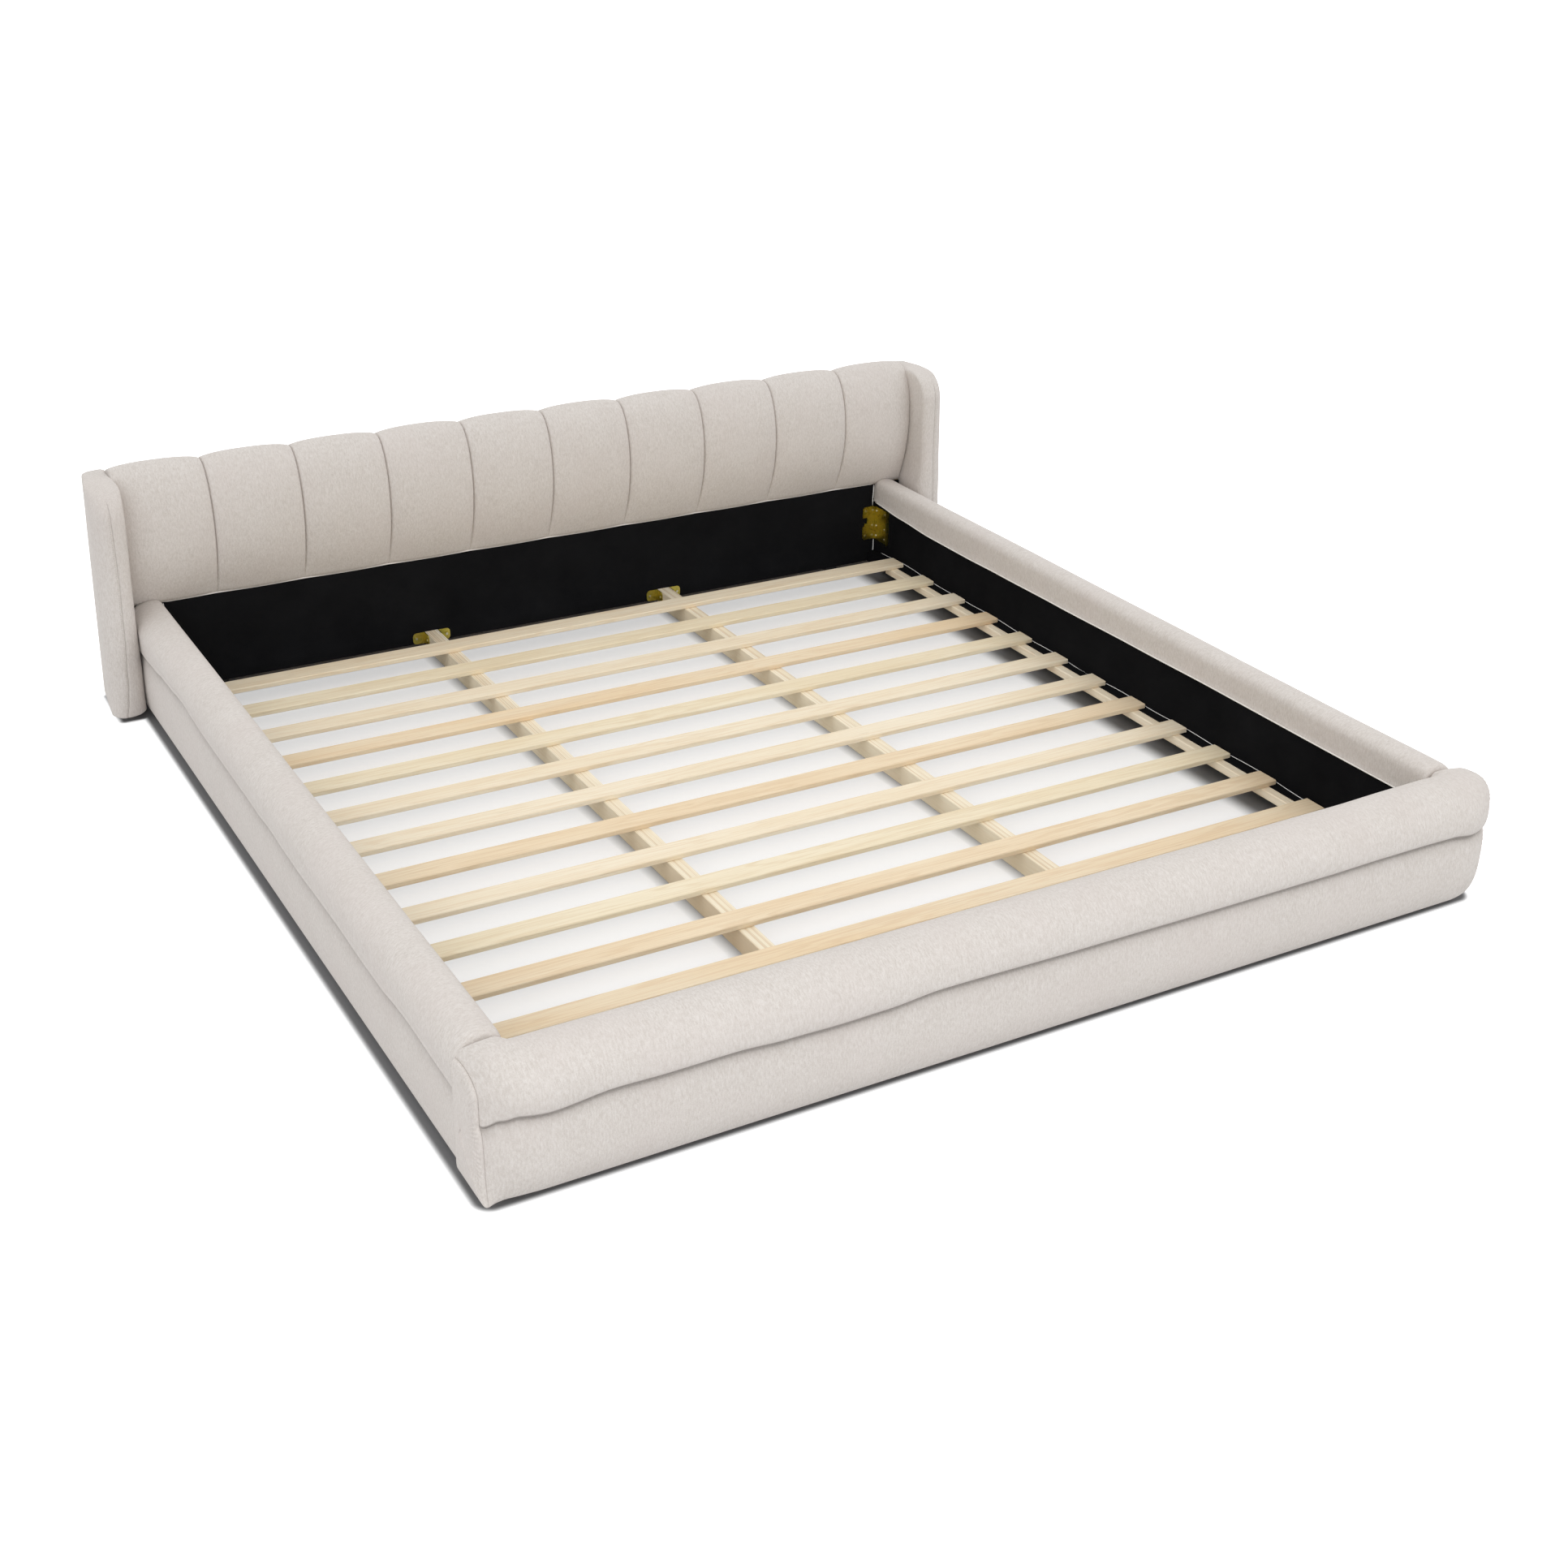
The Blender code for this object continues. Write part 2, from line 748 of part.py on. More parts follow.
# Plate on the rail lining, with its far edge bent out into a stiffening flange.
def build_rail_plate(name, side, end, zinc):
    wall = rail_lining_face - touch_gap
    near = (head_lining_front if end > 0 else foot_lining_front) - end * (plate_sheet + 2 * touch_gap)
    far = near - end * rail_plate_width
    low = plate_bottom_height
    corners = [
        (wall, near),
        (wall, far),
        (wall - rail_plate_flange, far),
        (wall - rail_plate_flange, far + end * plate_sheet),
        (wall - plate_sheet, far + end * plate_sheet),
        (wall - plate_sheet, near),
    ]
    bm = bmesh.new()
    bottom = bm.faces.new([bm.verts.new((side * x, y, low)) for x, y in corners])
    grown = bmesh.ops.extrude_face_region(bm, geom=[bottom])["geom"]
    raised = [item for item in grown if isinstance(item, bmesh.types.BMVert)]
    bmesh.ops.translate(bm, verts=raised, vec=(0, 0, plate_height))
    plate = add_object(name, finish_mesh(name, bm, False), zinc)
    places = []
    for share in plate_screw_shares:
        height = low + plate_height * share
        places.append((side * (wall - plate_sheet), near - end * screw_inset, height))
        places.append((side * (wall - plate_sheet), far + end * 2 * screw_inset, height))
    add_screws(plate, name, places, Vector((-side, 0, 0)), zinc)


def build_hardware(zinc):
    for end_name, end in (("head", 1), ("foot", -1)):
        for side_name, side in (("left", -1), ("right", 1)):
            build_end_plate("corner_plate_%s_%s" % (end_name, side_name), side, end, zinc)
            build_rail_plate("rail_plate_%s_%s" % (end_name, side_name), side, end, zinc)
            for out_name, out in (("outer", side), ("inner", -side)):
                name = "beam_bracket_%s_%s_%s" % (end_name, side_name, out_name)
                build_beam_bracket(name, side, end, out, zinc)


# Round glides that hold the upholstery just off the floor.
def build_glides(plastic):
    height = floor_gap - touch_gap
    bm = bmesh.new()
    bmesh.ops.create_cone(
        bm,
        cap_ends=True,
        segments=2 * round_segments,
        radius1=glide_radius,
        radius2=glide_radius,
        depth=height,
    )
    rims = [edge for edge in bm.edges if abs(edge.verts[0].co.z - edge.verts[1].co.z) < touch_gap]
    bmesh.ops.bevel(bm, geom=rims, offset=glide_edge, segments=1, affect="EDGES", profile=round_profile_share)
    mesh = finish_mesh("glide", bm, False)
    across = rail_inner - glide_side_inset
    depths = (
        ("head", (core_front + core_back) / 2),
        ("foot", foot_board_outer),
    )
    for end_name, depth in depths:
        for side_name, side in (("left", -1), ("right", 1)):
            name = "glide_%s_%s" % (end_name, side_name)
            add_object(name, mesh, plastic, (side * across, depth, height / 2))


def build():
    clear_scene()
    fabric = make_material("woven_fabric", fabric_colour, 0.95)
    lining = make_material("black_lining", lining_colour, 0.9)
    pine = make_material("pine", pine_colour, 0.6)
    board = make_material("board", board_colour, 0.7)
    ply = make_material("laminated_wood", ply_colour, 0.65)
    zinc = make_material("yellow_zinc", zinc_colour, 0.35, 1.0)
    plastic = make_material("black_plastic", glide_colour, 0.5)
    build_headboard(fabric, lining, board)
    for side_name, side in (("left", -1), ("right", 1)):
        build_rail(side_name, side, fabric, lining, board, pine)
    build_footboard(fabric, lining, board)
    build_slats(pine)
    build_beams(ply)
    build_hardware(zinc)
    build_glides(plastic)


build()
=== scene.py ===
import math

import bmesh
import bpy
from mathutils import Matrix, Vector, noise


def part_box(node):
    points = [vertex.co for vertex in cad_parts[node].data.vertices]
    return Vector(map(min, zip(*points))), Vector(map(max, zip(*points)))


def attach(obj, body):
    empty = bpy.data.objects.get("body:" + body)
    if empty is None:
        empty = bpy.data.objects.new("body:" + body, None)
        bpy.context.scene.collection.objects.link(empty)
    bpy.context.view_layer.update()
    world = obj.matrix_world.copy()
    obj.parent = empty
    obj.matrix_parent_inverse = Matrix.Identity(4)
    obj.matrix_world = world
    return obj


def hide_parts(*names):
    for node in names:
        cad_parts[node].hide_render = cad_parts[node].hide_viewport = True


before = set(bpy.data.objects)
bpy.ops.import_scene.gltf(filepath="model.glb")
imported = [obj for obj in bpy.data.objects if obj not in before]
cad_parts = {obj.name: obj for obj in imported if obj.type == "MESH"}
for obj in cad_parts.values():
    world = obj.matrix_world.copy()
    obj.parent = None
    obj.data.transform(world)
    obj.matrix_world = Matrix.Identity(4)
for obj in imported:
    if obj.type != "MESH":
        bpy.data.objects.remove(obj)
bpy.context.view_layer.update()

print("frame loaded")

# Everything is in metres: +Y runs from the footboard to the headboard, +X to the sleeper's left.


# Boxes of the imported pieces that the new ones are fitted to

def low(node):
    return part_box(node)[0]


def high(node):
    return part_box(node)[1]


touchGap = 0.0003
hair = 0.0002  # keeps a cover inside the outline of what it stands for
sides = (("left", -1), ("right", 1))
floorGap = low("rail_board_right").z
railInner = low("rail_upper_roll_right").x
railBoardInner = low("rail_board_right").x
railBoardOuter = high("rail_board_right").x
railBulge = high("rail_upper_roll_right").x
railRoof = high("rail_board_right").z
railHead = high("rail_board_right").y
railFoot = low("rail_board_right").y
flapHeight = high("rail_lining_right").z + touchGap
liningFace = low("rail_lining_right").x
headLining = low("headboard_lining").y
coreFront = low("headboard_core").y
coreBack = high("headboard_core").y
coreTop = high("headboard_core").z
cushionHem = high("headboard_lining").z + touchGap
backTop = coreTop - hair
bedBack = high("headboard_back_cover").y
wingInner = low("headboard_wing_right").x
wingFront = low("headboard_wing_right").y
wingTop = high("headboard_wing_right").z
footOuter = low("footboard_board").y
footBoardInner = high("footboard_board").y
footRoof = high("footboard_board").z
footInner = high("footboard_upper_roll").y
footEnd = high("footboard_board").x
footCrown = high("footboard_upper_roll").z


# Points of a rounded quarter after its start; fat is 2 for an ellipse and less for a flatter curve
def quarterArc(start, end, leavesUpright, steps, fat=2.0):
    points = []
    for step in range(1, steps + 1):
        turn = math.pi / 2 * step / steps
        rise = 1 - math.cos(turn)
        run = (1 - (1 - rise) ** fat) ** (1 / fat)
        first, second = (rise, run) if leavesUpright else (run, rise)
        points.append((start[0] + (end[0] - start[0]) * first, start[1] + (end[1] - start[1]) * second))
    return points


def straightRun(start, end, steps):
    return [
        (start[0] + (end[0] - start[0]) * step / steps, start[1] + (end[1] - start[1]) * step / steps)
        for step in range(1, steps + 1)
    ]


# Smooth height along a few measured places, given as (place, height) pairs
def eased(places, at):
    if at <= places[0][0]:
        return places[0][1]
    for (left, before), (right, after) in zip(places, places[1:]):
        if at <= right:
            share = (at - left) / (right - left)
            return before + (after - before) * share * share * (3 - 2 * share)
    return places[-1][1]


def mixed(first, second, share):
    return first + (second - first) * share


def clamped(value):
    return min(1.0, max(0.0, value))


# The same closed line with its points set evenly along it
def evenLoop(points, count):
    closed = list(points) + [points[0]]
    walked = [0.0]
    for (x0, y0), (x1, y1) in zip(closed, closed[1:]):
        walked.append(walked[-1] + math.hypot(x1 - x0, y1 - y0))
    loop = []
    index = 0
    for step in range(count):
        goal = walked[-1] * step / count
        while walked[index + 1] < goal:
            index += 1
        share = (goal - walked[index]) / max(walked[index + 1] - walked[index], 1e-9)
        first, second = closed[index], closed[index + 1]
        loop.append((mixed(first[0], second[0], share), mixed(first[1], second[1], share)))
    return loop


def softNoise(x, y, z, size):
    return noise.noise(Vector((x / size, y / size, z / size)))


# A closed tube of rings: one ring for each section, each with the same number of points
def ringedTube(sections):
    around = len(sections[0])
    along = len(sections) - 1
    bm = bmesh.new()
    bmesh.ops.create_circle(bm, cap_ends=True, segments=around, radius=1.0)
    grown = bmesh.ops.extrude_face_region(bm, geom=bm.faces[:])["geom"]
    far = [item for item in grown if isinstance(item, bmesh.types.BMVert)]
    bmesh.ops.translate(bm, verts=far, vec=(0, 0, 1))
    uprights = [edge for edge in bm.edges if abs(edge.verts[0].co.z - edge.verts[1].co.z) > 0.5]
    if along > 1:
        bmesh.ops.subdivide_edges(bm, edges=uprights, cuts=along - 1)
    for vert in bm.verts:
        ring = round(vert.co.z * along)
        spot = round((math.atan2(vert.co.y, vert.co.x) / (2 * math.pi) - 0.25) * around) % around
        vert.co = sections[ring][spot]
    return bm


def linked(name, data):
    made = bpy.data.objects.new(name, data)
    bpy.context.scene.collection.objects.link(made)
    return made


# Shade gives, for each place, the share of painted shade in the cloth's colour where it runs into a seam or
# under a lip
def finishPiece(name, bm, material, replaced=None, shade=None):
    bmesh.ops.recalc_face_normals(bm, faces=bm.faces)
    if shade:
        layer = bm.verts.layers.float.new("paintedShade")
        for vert in bm.verts:
            vert[layer] = shade(vert.co)
    mesh = bpy.data.meshes.new(name)
    bm.to_mesh(mesh)
    bm.free()
    for face in mesh.polygons:
        face.use_smooth = True
    piece = linked(name, mesh)
    mesh.materials.append(material)
    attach(piece, "root")
    if replaced:
        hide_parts(replaced)


# Materials

def newMaterial(name, roughness, specular=0.5, metallic=0.0):
    material = bpy.data.materials.new(name)
    material.use_nodes = True
    shader = material.node_tree.nodes["Principled BSDF"]
    shader.inputs["Roughness"].default_value = roughness
    shader.inputs["Specular IOR Level"].default_value = specular
    shader.inputs["Metallic"].default_value = metallic
    return material, material.node_tree, shader


# Sets a node's sockets to values, or links them to the outputs of other nodes
def feed(tree, node, sockets):
    for socket, value in sockets.items():
        if isinstance(value, bpy.types.NodeSocket):
            tree.links.new(value, node.inputs[socket])
        else:
            node.inputs[socket].default_value = value
    return node


def added(tree, kind, sockets, **settings):
    made = tree.nodes.new("ShaderNode" + kind)
    for setting, value in settings.items():
        setattr(made, setting, value)
    return feed(tree, made, sockets)


def patternAt(tree, scale, shift=(0, 0, 0)):
    places = added(tree, "TexCoord", {}).outputs["Object"]
    return added(tree, "Mapping", {"Vector": places, "Location": shift, "Scale": scale}).outputs["Vector"]


# Scale counts the pattern's lumps to the metre, along each axis or the same along all
def noiseAt(tree, scale, detail=2.0, rough=0.5, twist=0.0, shift=(0, 0, 0)):
    scale = (scale,) * 3 if isinstance(scale, float) else scale
    sockets = {"Vector": patternAt(tree, scale, shift), "Scale": 1.0}
    sockets.update({"Detail": detail, "Roughness": rough, "Distortion": twist})
    return added(tree, "TexNoise", sockets).outputs["Fac"]


def spread(tree, value, fromLow, fromHigh, toLow=0.0, toHigh=1.0, easing="LINEAR"):
    sockets = {"Value": value, "From Min": fromLow, "From Max": fromHigh, "To Min": toLow, "To Max": toHigh}
    return added(tree, "MapRange", sockets, interpolation_type=easing).outputs["Result"]


def joined(tree, operation, *values):
    return added(tree, "Math", dict(enumerate(values)), operation=operation).outputs["Value"]


# A share of the first pattern on top of the second
def sums(tree, first, second, share):
    return joined(tree, "MULTIPLY_ADD", first, share, second)


def colourRamp(tree, value, tones):
    ramp = tree.nodes.new("ShaderNodeValToRGB")
    elements = ramp.color_ramp.elements
    while len(elements) < len(tones):
        elements.new(0.5)
    for element, (place, colour) in zip(elements, tones):
        element.position = place
        element.color = (*colour, 1.0)
    tree.links.new(value, ramp.inputs["Fac"])
    return ramp.outputs["Color"]


def mixColours(tree, factor, first, second):
    first, second = ((*tone, 1.0) if isinstance(tone, tuple) else tone for tone in (first, second))
    sockets = {"Factor": factor, "A": first, "B": second}
    return added(tree, "Mix", sockets, data_type="RGBA").outputs["Result"]


# Up to a share of one tone over the base, from where the pattern reaches start to where it is full
def toned(tree, base, pattern, start, full, share, tone):
    return mixColours(tree, spread(tree, pattern, start, full, 0.0, share), base, tone)


def finishMaterial(tree, shader, colour, height, distance):
    feed(tree, shader, {"Base Color": colour})
    if distance:
        bump = added(tree, "Bump", {"Height": height, "Distance": distance, "Strength": 1.0})
        feed(tree, shader, {"Normal": bump.outputs["Normal"]})


fabricLook = {
    "shade": (0.600, 0.553, 0.512),
    "body": (0.672, 0.628, 0.590),
    "light": (0.742, 0.702, 0.668),
    "blush": (0.45, 0.75, 0.35, (0.672, 0.607, 0.577)),
    # colour of the painted shade mixed into the cloth in seams, under lips, on the rails' inner faces and
    # beside the wings
    "paintedShade": (0.130, 0.105, 0.090),
    "rib": (340.0, 120.0),  # across the ribs and along them
    "slub": (230.0, 55.0),
    "fuzz": 700.0,
    "swirl": 105.0,
    "blotch": 14.0,
    "fuzzShare": 0.9,
    "slubShare": 0.18,
    "blotchShare": 0.22,
    "toneMiddle": 1.15,
    "toneReach": 0.27,
    "sheen": {"Sheen Weight": 0.20, "Sheen Roughness": 0.45, "Sheen Tint": (1.0, 0.97, 0.94, 1.0)},
    "bump": 0.00042,
}


# Chenille with fine ribs, side by side along the axes named by across, and its pile stroked about by a share
def makeFabric(name, across, stroked):
    material, tree, shader = newMaterial(name, 0.92, 0.15)
    look = fabricLook
    ribs, slubs = ([look[kind][axis not in across] for axis in "xyz"] for kind in ("rib", "slub"))
    rib = noiseAt(tree, ribs, 2.0, 0.55)
    fuzz = noiseAt(tree, look["fuzz"], 2.0, 0.6)
    slub = noiseAt(tree, slubs, 1.0, 0.5, 0.4)
    blotch = noiseAt(tree, look["blotch"], 3.0, 0.6)
    blush = noiseAt(tree, look["blotch"] / 2, 2.0, 0.5, shift=(3.1, 1.7, 0.4))
    swirl = noiseAt(tree, look["swirl"], 2.0, 0.6, 1.6)
    weave = sums(tree, fuzz, rib, look["fuzzShare"])
    pile = sums(tree, swirl, sums(tree, slub, weave, look["slubShare"]), stroked)
    cloth = sums(tree, blotch, pile, look["blotchShare"])
    middle, reach = look["toneMiddle"] + stroked / 2, look["toneReach"]
    tones = [(0.0, look["shade"]), (0.5, look["body"]), (1.0, look["light"])]
    colour = colourRamp(tree, spread(tree, cloth, middle - reach, middle + reach), tones)
    # Painted shade: each point's stored share darkens the cloth towards the painted shade colour
    paintedShade = added(tree, "Attribute", {}, attribute_name="paintedShade").outputs["Fac"]
    withPaintedShade = mixColours(tree, paintedShade, toned(tree, colour, blush, *look["blush"]), look["paintedShade"])
    finishMaterial(tree, shader, withPaintedShade, weave, look["bump"])
    feed(tree, shader, look["sheen"])
    return material


timberLook = {
    "bend": (1.6, 34.0),  # along the grain and across it
    "fibre": (7.0, 420.0),
    "pore": (24.0, 900.0),
    "cloudShares": (1.5, 0.4, 0.4),
    "rings": 46.0,
    "ringTone": (0.55, 1.0, 0.42),
    "fibreTone": (0.45, 0.8, 0.45),
    "poreTone": (0.66, 0.8, 0.30, (0.30, 0.19, 0.09)),
    "bump": 0.00008,
}


# Planed softwood with its grain along one axis: early wood, late wood lines, a few streaks and pores
def makeTimber(name, along, tones, shift):
    material, tree, shader = newMaterial(name, 0.55, 0.35)
    look = timberLook
    pale, warm, line = tones
    bends, fibres, pores = (
        [look[kind][axis != along] for axis in "xyz"] for kind in ("bend", "fibre", "pore")
    )
    clouds = [scale * share for scale, share in zip(bends, look["cloudShares"])]
    bend = noiseAt(tree, bends, 3.0, 0.55, 0.6, shift)
    rings = joined(tree, "SINE", joined(tree, "MULTIPLY", bend, look["rings"]))
    ringTone = spread(tree, rings, -1.0, 1.0)
    fibre = noiseAt(tree, fibres, 2.0, 0.6, 0.0, shift)
    pore = noiseAt(tree, pores, 1.0, 0.5, 0.0, shift)
    cloud = noiseAt(tree, clouds, 2.0, 0.5, 0.0, shift)
    base = mixColours(tree, spread(tree, cloud, 0.35, 0.65), pale, warm)
    ringed = toned(tree, base, ringTone, *look["ringTone"], line)
    grained = toned(tree, ringed, fibre, *look["fibreTone"], line)
    colour = toned(tree, grained, pore, *look["poreTone"])
    finishMaterial(tree, shader, colour, sums(tree, fibre, ringTone, 2.0), look["bump"])
    return material


laminateLook = {
    "plies": ((290.0, 0.6, 0.0), 1.0, 0.4),
    "glue": ((620.0, 0.5, 0.0), 0.0, 0.4, 0.0, (7.3, 0, 0)),
    "fibre": ((500.0, 14.0, 260.0), 2.0, 0.6),
    "face": ((8.0, 3.0, 26.0), 3.0, 0.6, 1.2),
    "tones": ((0.0, (0.77, 0.62, 0.43)), (0.45, (0.90, 0.80, 0.61)), (1.0, (0.95, 0.87, 0.71))),
    "glueTone": (0.62, 0.72, 0.55, (0.40, 0.26, 0.13)),
    "faceTone": (0.5, 0.8, 0.25, (0.74, 0.56, 0.36)),
    "fibreTone": (0.5, 0.8, 0.35, (0.68, 0.51, 0.32)),
    "bump": 0.0001,
}


# Laminated veneer: thin plies side by side across the beam
def makeLaminate():
    material, tree, shader = newMaterial("laminatedVeneer", 0.6, 0.3)
    look = laminateLook
    plies, glue, fibre, face = (noiseAt(tree, *look[kind]) for kind in ("plies", "glue", "fibre", "face"))
    base = colourRamp(tree, spread(tree, plies, 0.3, 0.7), look["tones"])
    for kind, pattern in (("glueTone", glue), ("faceTone", face), ("fibreTone", fibre)):
        base = toned(tree, base, pattern, *look[kind])
    finishMaterial(tree, shader, base, fibre, look["bump"])
    return material


zincLook = {
    "tones": ((0.0, (0.300, 0.255, 0.040)), (0.5, (0.560, 0.450, 0.090)), (1.0, (0.330, 0.340, 0.075))),
    "rose": (0.6, 0.75, 0.55, (0.560, 0.390, 0.220)),
    "drift": (42.0, 3.0, 0.6, 0.8),
    "film": (95.0, 2.0, 0.5, 1.5, (2.0, 0, 5.0)),
    "scuff": ((900.0, 900.0, 120.0), 2.0, 0.6),
    "polish": (0.3, 0.8, 0.26, 0.5),
    "bump": 0.00003,
}


# Yellow passivated zinc: olive to gold and green, with a rosy film in places
def makeZinc():
    material, tree, shader = newMaterial("yellowZinc", 0.34, metallic=1.0)
    look = zincLook
    drift, film, scuff = (noiseAt(tree, *look[kind]) for kind in ("drift", "film", "scuff"))
    base = colourRamp(tree, spread(tree, drift, 0.3, 0.7), look["tones"])
    finishMaterial(tree, shader, toned(tree, base, film, *look["rose"]), scuff, look["bump"])
    feed(tree, shader, {"Roughness": spread(tree, scuff, *look["polish"])})
    return material


# Grain and cloud: lumps to the metre, detail and roughness, and the cloud's share
plainLooks = {
    "blackNonwoven": {
        "roughness": 0.9, "specular": 0.0, "grain": (700.0, 3.0, 0.7), "bump": 0.0001,
        "cloud": (9.0, 3.0, 0.6), "cloudShare": 0.8,
        "span": (0.65, 1.2), "tones": ((0.0072, 0.0073, 0.0080), (0.0125, 0.0127, 0.0138)),
    },
    "rawBoard": {
        "roughness": 0.8, "grain": (160.0, 4.0, 0.7), "bump": 0.0002,
        "cloud": (12.0, 2.0, 0.5), "cloudShare": 0.5,
        "span": (0.5, 1.0), "tones": ((0.30, 0.20, 0.11), (0.52, 0.38, 0.23), (0.68, 0.54, 0.36)),
    },
    "screwSteel": {
        "roughness": 0.28, "metallic": 1.0, "grain": (1500.0, 2.0, 0.6),
        "span": (0.3, 0.7), "tones": ((0.45, 0.40, 0.22), (0.80, 0.76, 0.58)),
    },
    "mouldedPlastic": {
        "roughness": 0.5, "grain": (1400.0, 2.0, 0.5),
        "span": (0.3, 0.7), "tones": ((0.020, 0.020, 0.021), (0.032, 0.032, 0.034)), "bump": 0.00004,
    },
    "sewingThread": {
        "roughness": 0.8, "grain": (1800.0, 1.0, 0.5),
        "span": (0.3, 0.7), "tones": ((0.36, 0.32, 0.29), (0.46, 0.42, 0.39)), "bump": 0.00005,
    },
    # pale edging for the lining's cut edge and the strips down the corners at the head
    "paleEdge": {
        "roughness": 0.95, "grain": (700.0, 3.0, 0.7),
        "span": (0.3, 0.7), "tones": ((0.80, 0.79, 0.77), (0.93, 0.92, 0.90)), "bump": 0.0002,
    },
    # the turned hems are real beads; their pale tones are painted highlight
    "turnedHemPaintedHighlight": {
        "roughness": 0.9, "grain": (420.0, 3.0, 0.6),
        "span": (0.3, 0.7), "tones": ((0.80, 0.77, 0.73), (0.94, 0.92, 0.89)), "bump": 0.0002,
    },
}


# Matter of one fine grain, some with clouds in it, in tones from where it is low to where it is high
def makePlain(name):
    look = plainLooks[name]
    material, tree, shader = newMaterial(
        name, look["roughness"], look.get("specular", 0.5), look.get("metallic", 0.0)
    )
    grain = shown = noiseAt(tree, *look["grain"])
    if "cloud" in look:
        shown = sums(tree, noiseAt(tree, *look["cloud"]), grain, look["cloudShare"])
    last = len(look["tones"]) - 1
    tones = [(index / last, tone) for index, tone in enumerate(look["tones"])]
    colour = colourRamp(tree, spread(tree, shown, *look["span"]), tones)
    finishMaterial(tree, shader, colour, grain, look.get("bump", 0.0))
    return material


fabricAcross = makeFabric("chenilleAcross", "x", 0.12)  # headboard and footboard, ribs upright
fabricAlong = makeFabric("chenilleAlong", "y", 0.34)  # side rails
fabricUpright = makeFabric("chenilleUpright", "xy", 0.15)  # wings
laminate = makeLaminate()
zinc = makeZinc()
lining = makePlain("blackNonwoven")
rawBoard = makePlain("rawBoard")
screwSteel = makePlain("screwSteel")
plastic = makePlain("mouldedPlastic")
thread = makePlain("sewingThread")
paleEdging = makePlain("paleEdge")
# pale hem cloth: painted highlight on the turned hems
hemPaintedHighlight = makePlain("turnedHemPaintedHighlight")
pineTones = {
    "pale": ((0.94, 0.84, 0.66), (0.91, 0.79, 0.59), (0.80, 0.62, 0.41)),
    "straw": ((0.92, 0.82, 0.62), (0.88, 0.76, 0.54), (0.76, 0.60, 0.38)),
    "honey": ((0.91, 0.77, 0.56), (0.87, 0.70, 0.48), (0.74, 0.54, 0.33)),
    "pink": ((0.90, 0.76, 0.55), (0.88, 0.69, 0.45), (0.76, 0.54, 0.33)),
}
slatTones = [
    "pale", "straw", "pale", "pink", "straw", "pale", "pale",
    "honey", "pale", "straw", "honey", "pink", "honey",
]
pines = {
    tone: makeTimber("pine" + tone.capitalize(), "x", colours, (index * 5.0, 0, 0))
    for index, (tone, colours) in enumerate(pineTones.items())
}
ledgerPine = makeTimber("pineLedger", "y", pineTones["pale"], (2.0, 0, 0))
print("materials made")


# Rigid CAD pieces keep their shape and take the finished materials

def dress(node, material):
    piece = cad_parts[node]
    piece.data.materials.clear()
    piece.data.materials.append(material)
    return piece


# Walls that a bracket lies against: the axis, and whether the wall is at the high end of its box
def bracketWalls(node):
    atHead, atRight = "_head_" in node, "_right" in node
    if node.startswith("corner"):
        return [(1, atHead)]
    if node.startswith("rail"):
        return [(0, atRight), (1, not atHead)]
    return [(1, atHead), (0, atRight != node.endswith("outer"))]


# Screw heads are the faces that lie further than the sheet from every wall of their bracket
bracketSheet = 0.0027


def dressBracket(node):
    piece = dress(node, zinc)
    piece.data.materials.append(screwSteel)
    for face in piece.data.polygons:
        middle = piece.matrix_world @ face.center
        walls = [(axis, (high(node) if atHigh else low(node))[axis]) for axis, atHigh in bracketWalls(node)]
        face.material_index = int(min(abs(middle[axis] - wall) for axis, wall in walls) > bracketSheet)


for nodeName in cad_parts:
    if nodeName.startswith("slat_cleat") or "lining" in nodeName:
        dress(nodeName, lining)
    elif nodeName.startswith("slat_"):
        dress(nodeName, pines[slatTones[int(nodeName[-2:]) - 1]])
    elif nodeName.startswith("ledger"):
        dress(nodeName, ledgerPine)
    elif nodeName.startswith("centre_beam"):
        dress(nodeName, laminate)
    elif "plate" in nodeName or "bracket" in nodeName:
        dressBracket(nodeName)
    elif nodeName.startswith("glide"):
        dress(nodeName, plastic)
    elif nodeName.startswith("rail_board") or nodeName in ("headboard_core", "footboard_board"):
        dress(nodeName, rawBoard)


# Headboard cushion: ten channels over one long rounded form

cushion = {
    "channels": 10,
    "halfWidth": railBulge - hair,
    "hem": (1.0768, 0.2407),  # depth and height of the bottom edge at a seam
    "front": (1.0205, 0.4222),
    "crest": (1.0905, 0.5655),
    "tail": (coreBack + 0.0012, coreTop + touchGap),
    "faceSteps": 18,
    "crestSteps": 15,
    "tailSteps": 10,
    "backSteps": (4, 5, 2),  # over the core, down its face and under the cushion
    "hemSwell": 0.20,
    "swellSteps": 15,
    "crestSwell": 0.85,
    "tailSwell": 0.20,
    "bulge": 0.0135,
    "fullPower": 2.4,
    "fullEase": 0.72,
    "seamDepth": 0.0062,
    "seamWidth": 0.0015,
    "shoulder": (0.0012, 0.008),  # depth and reach of the cloth drawn in beside a seam
    "endTuck": 0.015,
    "tuckPower": 2.3,
    "tuckSteps": 14,
    "lumps": (0.0008, 0.12),  # height and size
    "pucker": (0.0006, 0.010, 0.4),  # height, size, and how drawn out it is across the channels
    "deepest": 0.9,  # share of the way to the core that a seam may be pulled in
    "bottomRoll": (0.0008, 1.0, 0.8),  # height, and its middle and reach in points of the outline
    "rollPoints": 4,
    "columnShares": (0, 0.0025, 0.0055, 0.010, 0.018, 0.032, 0.058, 0.10, 0.17, 0.26, 0.37),
    # painted shade beside the wings: share and reach
    "endShade": (0.45, 0.0022),
}
channelWidth = 2 * cushion["halfWidth"] / cushion["channels"]
faceEnd = cushion["faceSteps"]
crestEnd = faceEnd + cushion["crestSteps"]


